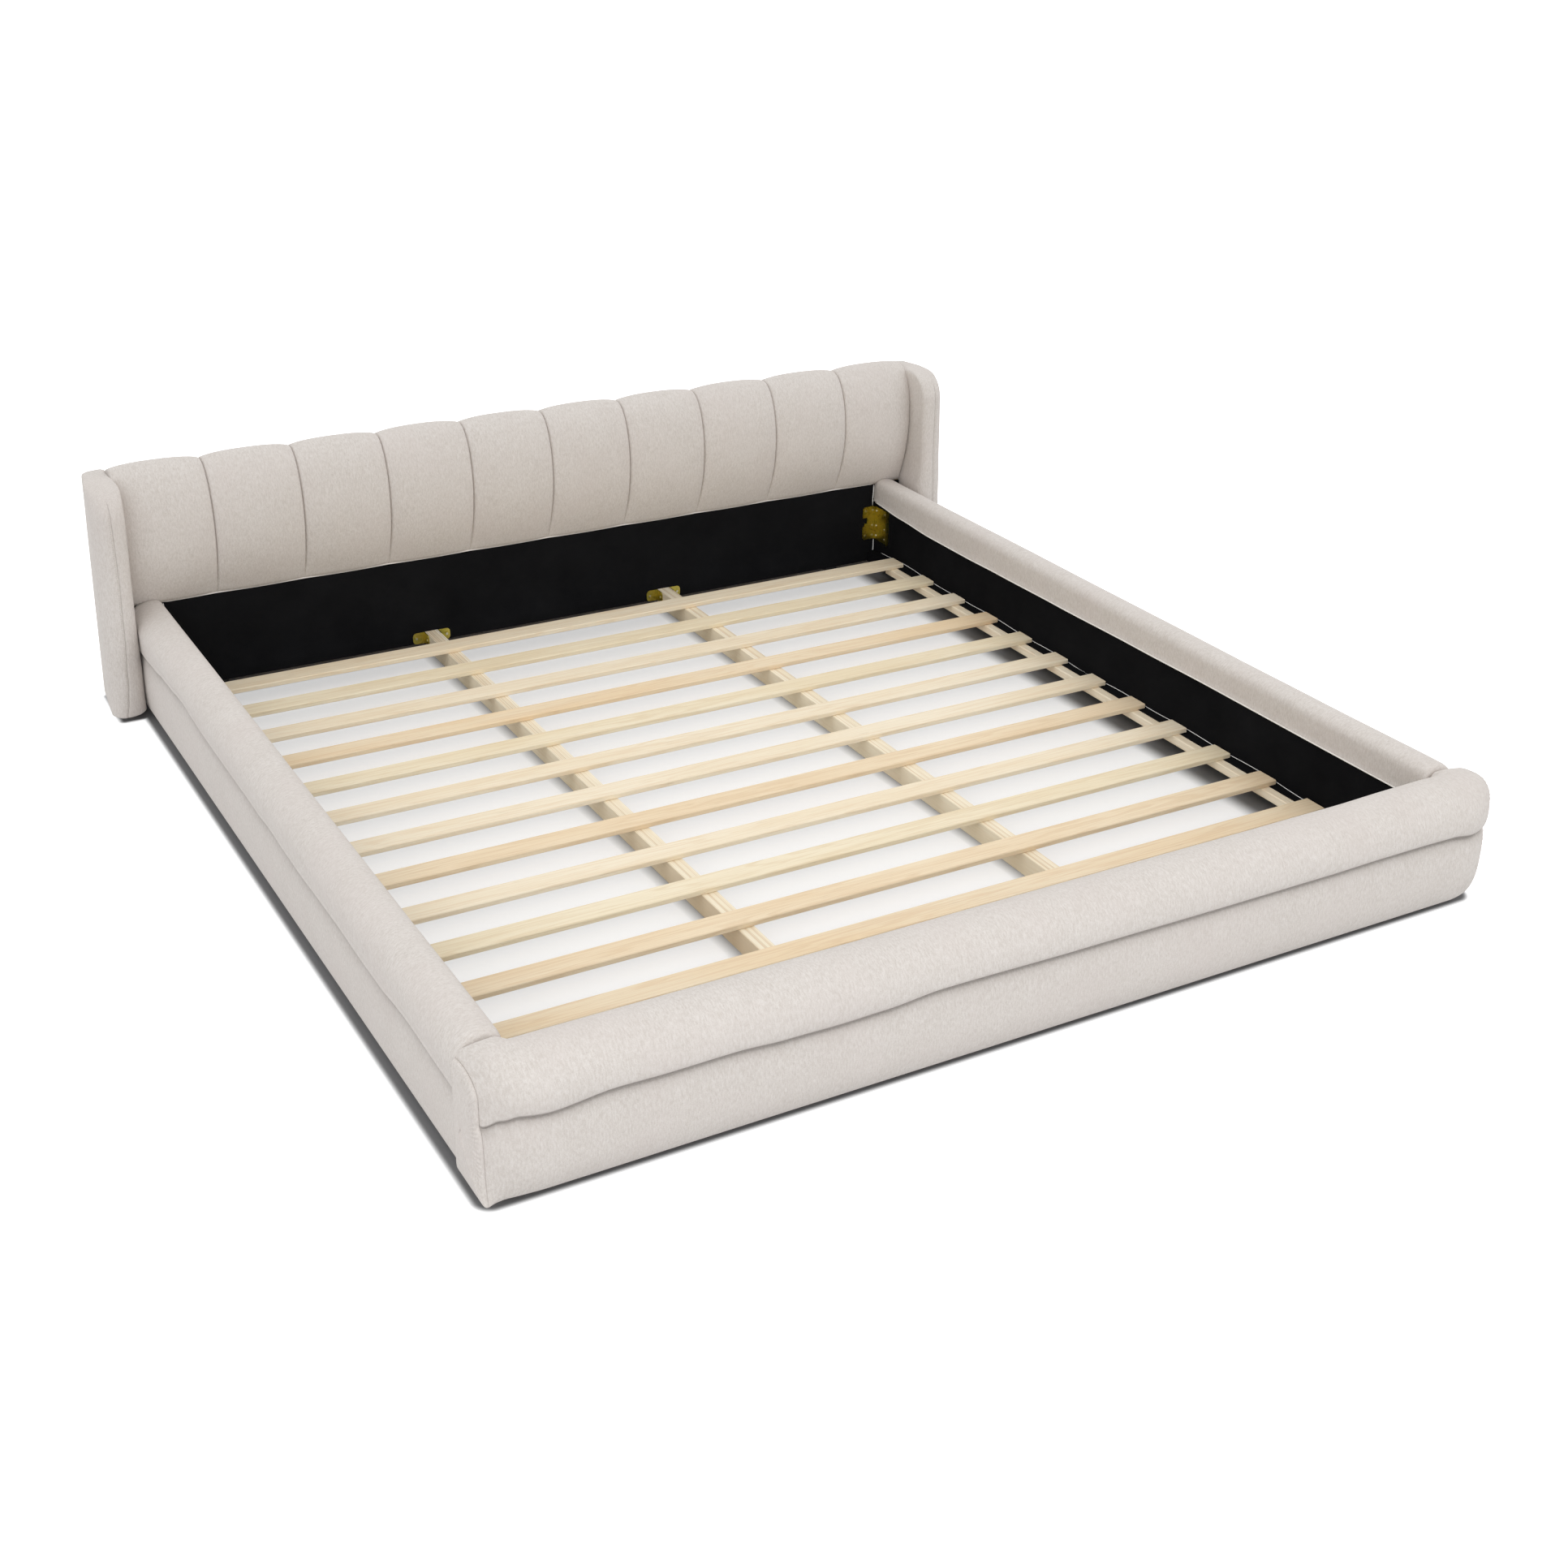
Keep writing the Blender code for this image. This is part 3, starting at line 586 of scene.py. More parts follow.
def cushionOutline():
    hem, front, crest, tail = (cushion[place] for place in ("hem", "front", "crest", "tail"))
    back = coreFront - touchGap
    over, down, under = cushion["backSteps"]
    points = [hem]
    for step in range(faceEnd - 1, -1, -1):
        fall = step / faceEnd
        points.append((mixed(front[0], hem[0], fall ** 2), mixed(front[1], hem[1], fall)))
    points += quarterArc(front, crest, True, cushion["crestSteps"])
    points += quarterArc(crest, tail, False, cushion["tailSteps"])
    points += straightRun(tail, (back, tail[1]), over)
    points += straightRun((back, tail[1]), (back, hem[1]), down)
    points += straightRun((back, hem[1]), hem, under)[:-1]
    return points


# How much each point of the outline may swell: none at the back, most at the front
def cushionSwell(index):
    if index <= faceEnd:
        return mixed(cushion["hemSwell"], 1.0, math.sin(math.pi / 2 * clamped(index / cushion["swellSteps"])))
    if index <= crestEnd:
        return mixed(1.0, cushion["crestSwell"], (index - faceEnd) / cushion["crestSteps"])
    if index <= crestEnd + cushion["tailSteps"]:
        return mixed(cushion["crestSwell"], cushion["tailSwell"], (index - crestEnd) / cushion["tailSteps"])
    return 0.0


def outlineNormals(points):
    normals = []
    count = len(points)
    for index in range(count):
        before, after = points[index - 1], points[(index + 1) % count]
        along = Vector((after[0] - before[0], after[1] - before[1])).normalized()
        normals.append(Vector((-along.y, along.x)))
    return normals


def cushionSections():
    shares = list(cushion["columnShares"]) + [0.5]
    shares += [1 - share for share in reversed(cushion["columnShares"][1:])]
    places = [(channel + share) * channelWidth for channel in range(cushion["channels"]) for share in shares]
    sections = [cushionSection(-cushion["halfWidth"] + place) for place in places]
    return sections + [cushionSection(cushion["halfWidth"])]


def cushionSection(across):
    outline = cushionOutline()
    normals = outlineNormals(outline)
    share = (across + cushion["halfWidth"]) / channelWidth % 1.0
    fullness = (1 - abs(2 * share - 1) ** cushion["fullPower"]) ** cushion["fullEase"]
    toSeam = min(share, 1 - share) * channelWidth
    groove = math.exp(-((toSeam / cushion["seamWidth"]) ** 2)) * cushion["seamDepth"]
    shoulder = math.exp(-toSeam / cushion["shoulder"][1]) * cushion["shoulder"][0]
    reach = abs(across) / cushion["halfWidth"]
    tuck = cushion["endTuck"] * max(0, (reach - 1) * cushion["channels"] + 1) ** cushion["tuckPower"]
    lumps, lumpSize = cushion["lumps"]
    pucker, puckerSize, drawnOut = cushion["pucker"]
    bottomRoll, rollMiddle, rollReach = cushion["bottomRoll"]
    points = []
    for index, (depth, height) in enumerate(outline):
        swell = cushionSwell(index)
        lump = softNoise(across, depth, height, lumpSize) * lumps * fullness
        gather = math.exp(-toSeam / puckerSize) * softNoise(across * drawnOut, 0, height, puckerSize) * pucker
        drawn = tuck * clamped((crestEnd - index) / cushion["tuckSteps"])
        out = swell * (cushion["bulge"] * fullness + lump + gather - groove - shoulder - drawn)
        if swell and out < -cushion["deepest"] * (coreFront - depth) and index <= faceEnd:
            out = 0.0
        roll = 0.0
        if index <= cushion["rollPoints"]:
            roll = bottomRoll * math.exp(-(((index - rollMiddle) / rollReach) ** 2))
        points.append((across, depth + normals[index].x * (out + roll), height + normals[index].y * out))
    return points


# Depth of the cushion's face at one place, where the rails run in under it
def cushionFace(across, height):
    section = cushionSection(across)[:faceEnd + 1]
    for (_, depth0, height0), (_, depth1, height1) in zip(section, section[1:]):
        if height0 <= height <= height1:
            return mixed(depth0, depth1, (height - height0) / max(height1 - height0, 1e-9))
    return section[0][1]


# Painted shade: beside the wings the cloth's colour is darkened
def cushionEndShade(place):
    share, reach = cushion["endShade"]
    return share * math.exp(-(cushion["halfWidth"] - abs(place.x)) / reach)


def buildCushion():
    cover = ringedTube(cushionSections())
    finishPiece("headboard_cushion_cover", cover, fabricAcross, "headboard_cushion", cushionEndShade)


buildCushion()
print("headboard cushion made")


# Back of the headboard: plain cloth in three widths, pulled flat over the frame

backCloth = {
    "joins": (-0.353, 0.353),
    "joinDepth": 0.0012,
    "joinWidth": 0.0016,
    "joinSteps": (-0.0032, -0.0016, -0.0008, 0, 0.0008, 0.0016, 0.0032),
    "sag": (0.0007, 0.13),  # depth and size
    "back": bedBack - 0.0008,
    "edge": 0.0021,
    "edgeSteps": 4,
    "columns": 90,
    "rows": 22,
}


def backClothSection(across):
    front, back, edge = coreBack + touchGap, backCloth["back"], backCloth["edge"]
    sag, sagSize = backCloth["sag"]
    toJoin = min(abs(across - join) for join in backCloth["joins"])
    groove = backCloth["joinDepth"] * math.exp(-((toJoin / backCloth["joinWidth"]) ** 2))
    outline = [(front, floorGap), (back - edge, floorGap)]
    outline += quarterArc((back - edge, floorGap), (back, floorGap + edge), False, backCloth["edgeSteps"])
    face = straightRun((back, floorGap + edge), (back, backTop - edge), backCloth["rows"])
    outline += [
        (depth + sag * softNoise(across, 4.0, height, sagSize) - groove, height) for depth, height in face
    ]
    outline += quarterArc((back, backTop - edge), (back - edge, backTop), True, backCloth["edgeSteps"])
    outline += [(front, backTop)] + straightRun((front, backTop), (front, floorGap), 3)[:-1]
    return [(across, depth, height) for depth, height in outline]


def buildBackCloth():
    half = railBulge - hair
    places = [-half + 2 * half * step / backCloth["columns"] for step in range(backCloth["columns"] + 1)]
    places += [join + step for join in backCloth["joins"] for step in backCloth["joinSteps"]]
    cloth = ringedTube([backClothSection(across) for across in sorted(places)])
    finishPiece("headboard_back_cloth", cloth, fabricAcross, "headboard_back_cover")


buildBackCloth()
print("headboard back made")


# Wings: padded uprights with a rounded front, a seam down its ridge and a row of stitches beside it

wing = {
    "bottomThickness": 0.0800,
    "topThickness": 0.0625,
    "back": bedBack - hair,
    "innerRounds": (
        (0.016, 0.042), (0.15, 0.032), (0.235, 0.032), (0.30, 0.024), (0.38, 0.018), (0.46, 0.015),
    ),
    "backDraw": 0.0155,
    "topRadius": 0.066,
    "topTilt": 0.0040,
    "crownRadius": 0.009,
    "toeRadius": 0.0032,
    "backCorner": 0.007,
    "ridgePlaces": (
        (0.016, 0.0510), (0.060, 0.0440), (0.10, 0.0400), (0.23, 0.0335),
        (0.36, 0.0295), (0.48, 0.0295), (0.553, 0.0305),
    ),
    "innerLeans": ((0.30, 0.0), (0.50, 0.0035), (0.553, 0.0065)),
    "outerRounds": ((0.016, 0.032), (0.10, 0.045), (0.20, 0.052)),
    "frontInset": 0.0004,
    "seamDepth": 0.0014,
    "seamHalf": 0.0020,
    # painted shade along the seam on the ridge: share and width
    "seamShade": (0.30, 0.0009),
    "shadeEnd": 0.022,  # below the top
    "insets": (0.8, 0.5),  # shares of the rounding at the ends that the inner side and the back take
    "puff": 0.0016,
    "bellyEase": 0.5,  # of the padding from floor to top
    "swellEase": 0.7,  # and from front to back
    "lumps": (0.0007, 0.09, 3, 0.6),  # height, size, how short they are across, and their share in depth
    "shadeDepth": 0.020,  # behind the wing's front
    "tiltStart": 0.40,
    "rows": 72,
    "crowded": 0.62,  # how much the rows crowd towards floor and top
    "stitchPitch": 0.0052,
    "stitchSize": (0.0033, 0.0009, 0.00035, 0.72),  # length, width, thickness and how narrow the top is
    "stitchBeside": 0.0042,
    "stitchEnds": (floorGap + 0.014, wingTop - 0.030),
    "stitchLook": 0.004,  # how far up the next place lies that gives a stitch its turn
}


def wingHeights():
    heights = []
    for row in range(wing["rows"] + 1):
        turn = math.pi * row / wing["rows"]
        share = wing["crowded"] * (1 - math.cos(turn)) / 2 + (1 - wing["crowded"]) * row / wing["rows"]
        heights.append(mixed(floorGap, wingTop, share))
    return heights


def roundedInset(distance, radius):
    if distance >= radius:
        return 0.0
    return radius - math.sqrt(max(0.0, radius ** 2 - (radius - distance) ** 2))


# Ridge, front, inner, outer and back of a wing at one height
def wingPlan(height):
    fromTop, fromToe = wingTop - height, height - floorGap
    innerShare, backShare = wing["insets"]
    share = fromToe / (wingTop - floorGap)
    inset = roundedInset(fromTop, wing["crownRadius"]) + roundedInset(fromToe, wing["toeRadius"])
    front = wingFront + wing["frontInset"] + inset + roundedInset(fromTop, wing["topRadius"])
    outer = wingInner + mixed(wing["bottomThickness"], wing["topThickness"], share) - inset
    ridge = wingInner + eased(wing["ridgePlaces"], height)
    inner = wingInner + touchGap + inset * innerShare - eased(wing["innerLeans"], height)
    return ridge, front, inner, outer, wing["back"] - inset * backShare


def wingSection(height):
    ridge, front, inner, outer, back = wingPlan(height)
    deep, half, backCorner = wing["seamDepth"], wing["seamHalf"], wing["backCorner"]
    drawn = outer - wing["backDraw"]
    start = (inner, front + eased(wing["innerRounds"], height))
    points = [start] + quarterArc(start, (ridge - half, front), True, 15, 2.2)
    for share, sunk in ((-0.5, 0.4), (0, 1), (0.5, 0.4), (1, 0)):
        points.append((ridge + half * share, front + deep * sunk))
    outerRound = eased(wing["outerRounds"], height)
    points += quarterArc((ridge + half, front), (outer, front + outerRound), False, 14, 1.9)
    points += straightRun((outer, front + outerRound), (drawn, back - backCorner), 12)
    points += quarterArc((drawn, back - backCorner), (drawn - backCorner, back), True, 4)
    points += straightRun((drawn - backCorner, back), (inner + backCorner, back), 5)
    points += quarterArc((inner + backCorner, back), (inner, back - backCorner), False, 4)
    points += straightRun((inner, back - backCorner), start, 16)[:-1]
    share = (height - floorGap) / (wingTop - floorGap)
    belly = math.sin(math.pi * clamped(share)) ** wing["bellyEase"]
    lumps, lumpSize, shorter, inDepth = wing["lumps"]
    placed = []
    for across, depth in points:
        along = (depth - front) / (back - front)
        swell = math.sin(math.pi * clamped(along)) ** wing["swellEase"] * belly
        outward = max(0.0, (across - inner) / (outer - inner))
        lump = softNoise(across * shorter, depth, height, lumpSize) * lumps * belly * outward
        placed.append((across + wing["puff"] * swell * outward + lump, depth - lump * inDepth))
    return placed


# A row of short sewn threads, each a small flat lozenge laid on the cloth
def makeStitches(name, places, size, material):
    bm = bmesh.new()
    length, width, thick, narrow = size
    for middle, along, outward in places:
        along = Vector(along).normalized()
        outward = Vector(outward).normalized()
        sideways = along.cross(outward)
        verts = bmesh.ops.create_circle(bm, cap_ends=True, segments=8, radius=0.5)["verts"]
        base = {face for vert in verts for face in vert.link_faces}
        grown = bmesh.ops.extrude_face_region(bm, geom=list(base))["geom"]
        upper = [item for item in grown if isinstance(item, bmesh.types.BMVert)]
        for vert in verts + upper:
            rise = thick if vert in upper else -thick
            ease = narrow if vert in upper else 1.0
            offset = along * (vert.co.x * length * ease) + sideways * (vert.co.y * width * ease)
            vert.co = Vector(middle) + offset + outward * rise
    finishPiece(name, bm, material)


def wingStitches(sideName, side):
    places = []
    beside, look = wing["stitchBeside"], wing["stitchLook"]
    height, top = wing["stitchEnds"]
    while height < top:
        ridge, front, _, outer, _ = wingPlan(height)
        run = beside / (outer - ridge)
        depth = front + eased(wing["outerRounds"], height) * (1 - math.sqrt(1 - run ** 2))
        above = wingPlan(height + look)
        along = (side * (above[0] - ridge), above[1] - front, look)
        places.append(((side * (ridge + beside), depth, height), along, (side * 0.25, -1, 0)))
        height += wing["stitchPitch"]
    makeStitches("wing_stitches_" + sideName, places, wing["stitchSize"], thread)


# The top stands a little higher along its inner edge
def wingRise(across, height):
    outward = clamped((across - wingInner) / wing["topThickness"])
    upward = clamped((height - wing["tiltStart"]) / (wingTop - wing["tiltStart"]))
    return wing["topTilt"] * (1 - outward) * upward ** 2


# Painted shade along the seam down the wing's ridge, stopping short of the top and behind the front
def wingSeamShade(place):
    ridge, front, _, _, _ = wingPlan(min(place.z, wingTop))
    if place.y > front + wing["shadeDepth"] or place.z >= wingTop - wing["shadeEnd"]:
        return 0.0
    share, reach = wing["seamShade"]
    return share * math.exp(-(((abs(place.x) - ridge) / reach) ** 2))


def buildWing(sideName, side):
    sections = []
    for height in wingHeights():
        section = wingSection(height)
        sections.append([(side * wide, deep, height + wingRise(wide, height)) for wide, deep in section])
    name = "headboard_wing_cover_" + sideName
    finishPiece(name, ringedTube(sections), fabricUpright, "headboard_wing_" + sideName, wingSeamShade)
    wingStitches(sideName, side)


for sideName, side in sides:
    buildWing(sideName, side)
print("wings made")


# Side rails: an upper roll that hangs over a lower one

# Hanging edge of an upper roll, from under it to its outside: shares of its overhang, and rises over the lip
def lipEdge(nip, out, lip, shape):
    return [(nip + out * share, lip + rise) for share, rise in shape]


# Painted shade: an upper roll's hanging edge is darkened where it folds under, and a painted shadow darkens
# the cloth below it
def paintedEdgeShade(above, look):
    share, start, reach = look["edgeShade"]
    return share * clamped((start - above) / reach)


def paintedLipShade(above, look):
    share, reach = look["lipShade"]
    return share * math.exp(min(0.0, above) / reach)


rail = {
    "nip": 1.0475,
    "lip": 1.0600,  # how far out the upper roll's hanging edge is
    "bulge": 1.0607,
    "bulgeHeight": 0.204,
    "lowerBulge": 1.0592,
    "lowerBulgeHeight": 0.078,
    "hem": 1.0546,
    "shoulder": (0.0006, 0.026),  # over the flap, and below the crest
    "grooveTop": 0.0045,  # where the upper roll leaves its board, over the lip
    "underHem": 0.0008,
    "endRound": (0.016, 0.8),  # reach from the foot end, and how much of it the crown takes
    "squeeze": (0.004, 0.018),  # start and reach behind the wings' front
    # painted shade: on the inner face, on the lip's folded edge, and as the lip's shadow on the cloth below
    "innerShade": (0.07, 0.0015, 0.0060, 0.02),  # share, start and reach, and how far below the flap
    "edgeShade": (0.75, 0.0044, 0.0024),
    "lipShade": (0.58, 0.0125),
    "outside": 0.001,  # the shades start this far within the nip
    "waves": 0.0016,
    "lipShape": ((0, 0.0045), (0.26, 0.0014), (0.56, -0.0002), (0.80, 0.0003), (0.95, 0.0020), (1, 0.0044)),
    "lipRise": ((0.0006, 0.0085), (0.0012, 0.0130)),  # over the lip: inward and up
    "toe": ((0.0025, 0), (0.0006, 0.0008), (0, 0.0028)),  # bottom edge: inward and up
    "groove": ((0.0030, -0.0045), (0.0014, -0.0010), (0.0004, 0.0038)),  # under the lip: outward and up
    "flapBack": 0.0060,
    "flapShape": (
        (0.0004, 0.0050), (-0.0009, 0.0030), (-0.0012, 0.0012),
        (-0.0002, -0.0004), (0.0025, -0.0006), (0.0052, 0.0010),
    ),
    "lipPlaces": (
        (-1.02, 0.1610), (-0.94, 0.1640), (-0.78, 0.1690), (-0.74, 0.1670), (-0.66, 0.1610), (-0.58, 0.1610),
        (-0.42, 0.1650), (-0.34, 0.1645), (-0.22, 0.1620), (-0.14, 0.1640), (-0.02, 0.1690), (0.04, 0.1670),
        (0.14, 0.1690), (0.34, 0.1700), (0.46, 0.1720), (0.52, 0.1760), (0.60, 0.1815), (0.64, 0.1805),
        (0.70, 0.1755), (0.78, 0.1730), (0.84, 0.1660), (0.94, 0.1620),
    ),
    "flapPlaces": (
        (-0.99, 0.188), (-0.65, 0.187), (-0.38, 0.187), (-0.09, 0.184), (0.22, 0.180), (0.47, 0.1775),
        (0.62, 0.175), (0.79, 0.175), (0.93, 0.181), (1.07, 0.190),
    ),
    "crownRight": (
        (-1.0, 0.2605), (-0.64, 0.2575), (-0.37, 0.2560), (0.0, 0.2550), (0.27, 0.2545), (1.04, 0.2520),
    ),
    "crownLeft": ((-1.0, 0.2620), (-0.50, 0.2590), (0.0, 0.2572), (0.50, 0.2555), (1.04, 0.2525)),
    "crownReach": ((-1.0, 1.0130), (-0.3, 1.0100), (0.3, 1.0060), (1.04, 1.0000)),
    "stations": 170,
    "endStations": (0.0006, 0.0018, 0.0036, 0.0060, 0.0090, 0.0150, 0.0200),
    "underCushion": 0.98,
    "sink": 0.0010,  # into the cushion's face
}


# The roll's outer side is pressed flat where it runs between the wings
def railSqueeze(across, along):
    start, reach = rail["squeeze"]
    pressed = clamped((along - wingFront - start) / reach)
    return min(across, mixed(across, railBulge - hair, pressed))


def railUpperSection(along, side):
    lip = eased(rail["lipPlaces"], along)
    flap = eased(rail["flapPlaces"], along)
    swell = softNoise(side * 3.0, along, 0.3, 0.24) * rail["waves"]
    crown = rail["crownRight"] if side > 0 else rail["crownLeft"]
    crest = eased(crown, along) + softNoise(side * 5.0, along, 0.9, 0.30) * rail["waves"] * 0.5
    endRound, taken = rail["endRound"]
    crest -= roundedInset(along - railFoot, endRound) * taken
    reach = eased(rail["crownReach"], along)
    nip, out = rail["nip"], rail["lip"] - rail["nip"]
    step = railBoardInner - touchGap
    shoulder = (railInner - rail["shoulder"][0], crest - rail["shoulder"][1])
    hem = [(railInner + inward, flap + rise) for inward, rise in rail["flapShape"]]
    outline = lipEdge(nip, out, lip, rail["lipShape"])
    outline += [(nip + out - inward, lip + rise) for inward, rise in rail["lipRise"]]
    outline += quarterArc(outline[-1], (rail["bulge"] + swell * 0.5, rail["bulgeHeight"]), False, 6, 1.9)
    outline += quarterArc(outline[-1], (reach, crest), True, 14, 1.9)
    outline += quarterArc((reach, crest), shoulder, False, 11, 2.2)
    outline += straightRun(shoulder, hem[0], 5) + hem[1:]
    roof = railRoof + touchGap
    outline += [(railInner + rail["flapBack"], flapHeight), (step, flapHeight), (step, roof)]
    outline += [(railBoardOuter + touchGap, height) for height in (roof, lip + rail["grooveTop"])]
    return [railPoint(side, across, along, height) for across, height in outline]


# At the head end the roll runs in under the cushion and stops against its face
def railPoint(side, across, along, height):
    reach = along
    if along > rail["underCushion"] and height > cushionHem - rail["underHem"]:
        reach = min(along, cushionFace(side * across, max(height, cushion["hem"][1])) + rail["sink"])
    return (side * railSqueeze(across, along), reach, height)


def railLowerSection(along, side):
    lip = eased(rail["lipPlaces"], along)
    swell = softNoise(side * 7.0, along, 0.1, 0.26) * rail["waves"]
    inner = railBoardOuter + touchGap
    groove = [(rail["nip"] + outward, lip + rise) for outward, rise in rail["groove"]]
    outline = [(inner, groove[-1][1]), (inner, floorGap)]
    outline += [(rail["hem"] - inward, floorGap + rise) for inward, rise in rail["toe"]]
    bulge = (rail["lowerBulge"] + swell * 0.6, rail["lowerBulgeHeight"])
    outline += quarterArc(outline[-1], bulge, False, 9, 1.8)
    outline += quarterArc(outline[-1], groove[0], True, 12, 1.9) + groove[1:]
    return [(side * railSqueeze(across, along), along, height) for across, height in outline]


# Painted shade on the upper roll: its folded lip edge, and its inner face below the flap
def railEdgeShade(place):
    if abs(place.x) > rail["nip"] - rail["outside"]:
        return paintedEdgeShade(place.z - eased(rail["lipPlaces"], place.y), rail)
    share, start, reach, below = rail["innerShade"]
    inside = clamped((railInner + start + reach - abs(place.x)) / reach)
    return share * inside if place.z > flapHeight - below else 0.0


# Painted shadow of the lip on the lower roll
def railLipShade(place):
    outer = abs(place.x) > rail["nip"] - rail["outside"]
    return paintedLipShade(place.z - eased(rail["lipPlaces"], place.y), rail) if outer else 0.0


def railStations():
    start = railFoot + touchGap
    stations = [mixed(start, railHead, step / rail["stations"]) for step in range(rail["stations"] + 1)]
    return sorted(stations + [start + step for step in rail["endStations"]])


def buildRail(sideName, side):
    parts = (("upper", railUpperSection, railEdgeShade), ("lower", railLowerSection, railLipShade))
    for part, section, shade in parts:
        cover = ringedTube([section(along, side) for along in railStations()])
        replaced = f"rail_{part}_roll_{sideName}"
        finishPiece(f"rail_{part}_cover_{sideName}", cover, fabricAlong, replaced, shade)


for sideName, side in sides:
    buildRail(sideName, side)
print("rails made")


# A thin rolled edge: a small tube through the given places
def makeBead(name, places, radius, material):
    sections = []
    last = len(places) - 1
    for index, place in enumerate(places):
        along = (Vector(places[min(index + 1, last)]) - Vector(places[max(index - 1, 0)])).normalized()
        sideways = along.cross(Vector((0, 1, 0) if abs(along.y) < 0.7 else (0, 0, 1))).normalized()
        across = along.cross(sideways)
        turns = [math.pi * 2 * step / 8 for step in range(8)]
        thin = radius * (0.55 if index in (0, last) else 1.0)
        sections.append(
            [Vector(place) + (sideways * math.cos(turn) + across * math.sin(turn)) * thin for turn in turns]
        )
    finishPiece(name, ringedTube(sections), material)


edging = {
    "flapHem": (-0.0014, -0.0007, 0.0017),  # inward and down from the flap's edge, and radius
    "cutEdge": (-0.0010, 0.0500, 0.0008),  # inward from the lining, height, and radius
    "cutWave": (0.008, 0.20),  # height and length
    "strips": (("low", 0.018, 0.078, liningFace - 0.0022), ("top", 0.177, 0.236, railInner - 0.0012)),
    "stripDepth": headLining - 0.0013,
    "stripRadius": 0.0014,
    "pitch": 0.012,
    "sway": (0.0010, 0.03),  # reach and length
    "cushionHem": (-0.0016, 0.0006, 0.0015),  # forward and up from the cushion's bottom edge, and radius
    "cushionEnd": railInner - 0.004,
    "cushionSteps": 240,
    "scallop": 0.0014,
}


# Turned hem of the flap on the inner side of each rail, its pale colour a painted highlight, and pale strips
# down the corners at the head
def buildEdgings(sideName, side):
    inward, down, radius = edging["flapHem"]
    stations = railStations()
    hem = [
        (side * (railInner + inward), along, eased(rail["flapPlaces"], along) + down)
        for along in stations[1:-1]
    ]
    makeBead("rail_flap_hem_" + sideName, hem, radius, hemPaintedHighlight)
    inward, height, radius = edging["cutEdge"]
    wave, length = edging["cutWave"]
    cut = [
        (side * (liningFace + inward), along, height + softNoise(side * 2.0, along, 5.0, length) * wave)
        for along in stations[10:-3]
    ]
    makeBead("lining_cut_edge_" + sideName, cut, radius, paleEdging)
    reach, length = edging["sway"]
    for part, bottom, top, across in edging["strips"]:
        count = round((top - bottom) / edging["pitch"])
        strip = []
        for step in range(count + 1):
            height = mixed(bottom, top, step / count)
            sway = softNoise(side, height, 3.0, length) * reach * 2
            strip.append((side * (across - sway - reach), edging["stripDepth"], height))
        makeBead("corner_pale_strip_" + part + "_" + sideName, strip, edging["stripRadius"], paleEdging)


# Turned hem along the bottom of the headboard cushion; its pale colour is a painted highlight
def buildCushionHem():
    forward, up, radius = edging["cushionHem"]
    end, steps = edging["cushionEnd"], edging["cushionSteps"]
    places = []
    for step in range(steps + 1):
        across = mixed(-end, end, step / steps)
        hang = edging["scallop"] * math.sin(math.pi * ((across + cushion["halfWidth"]) / channelWidth % 1.0))
        places.append((across, cushion["hem"][0] + forward, cushion["hem"][1] + up - hang))
    makeBead("headboard_cushion_hem", places, radius, hemPaintedHighlight)


for sideName, side in sides:
    buildEdgings(sideName, side)
buildCushionHem()
print("edgings made")


# Footboard: the same two rolls, fuller, rounding away at their ends into a gathered panel

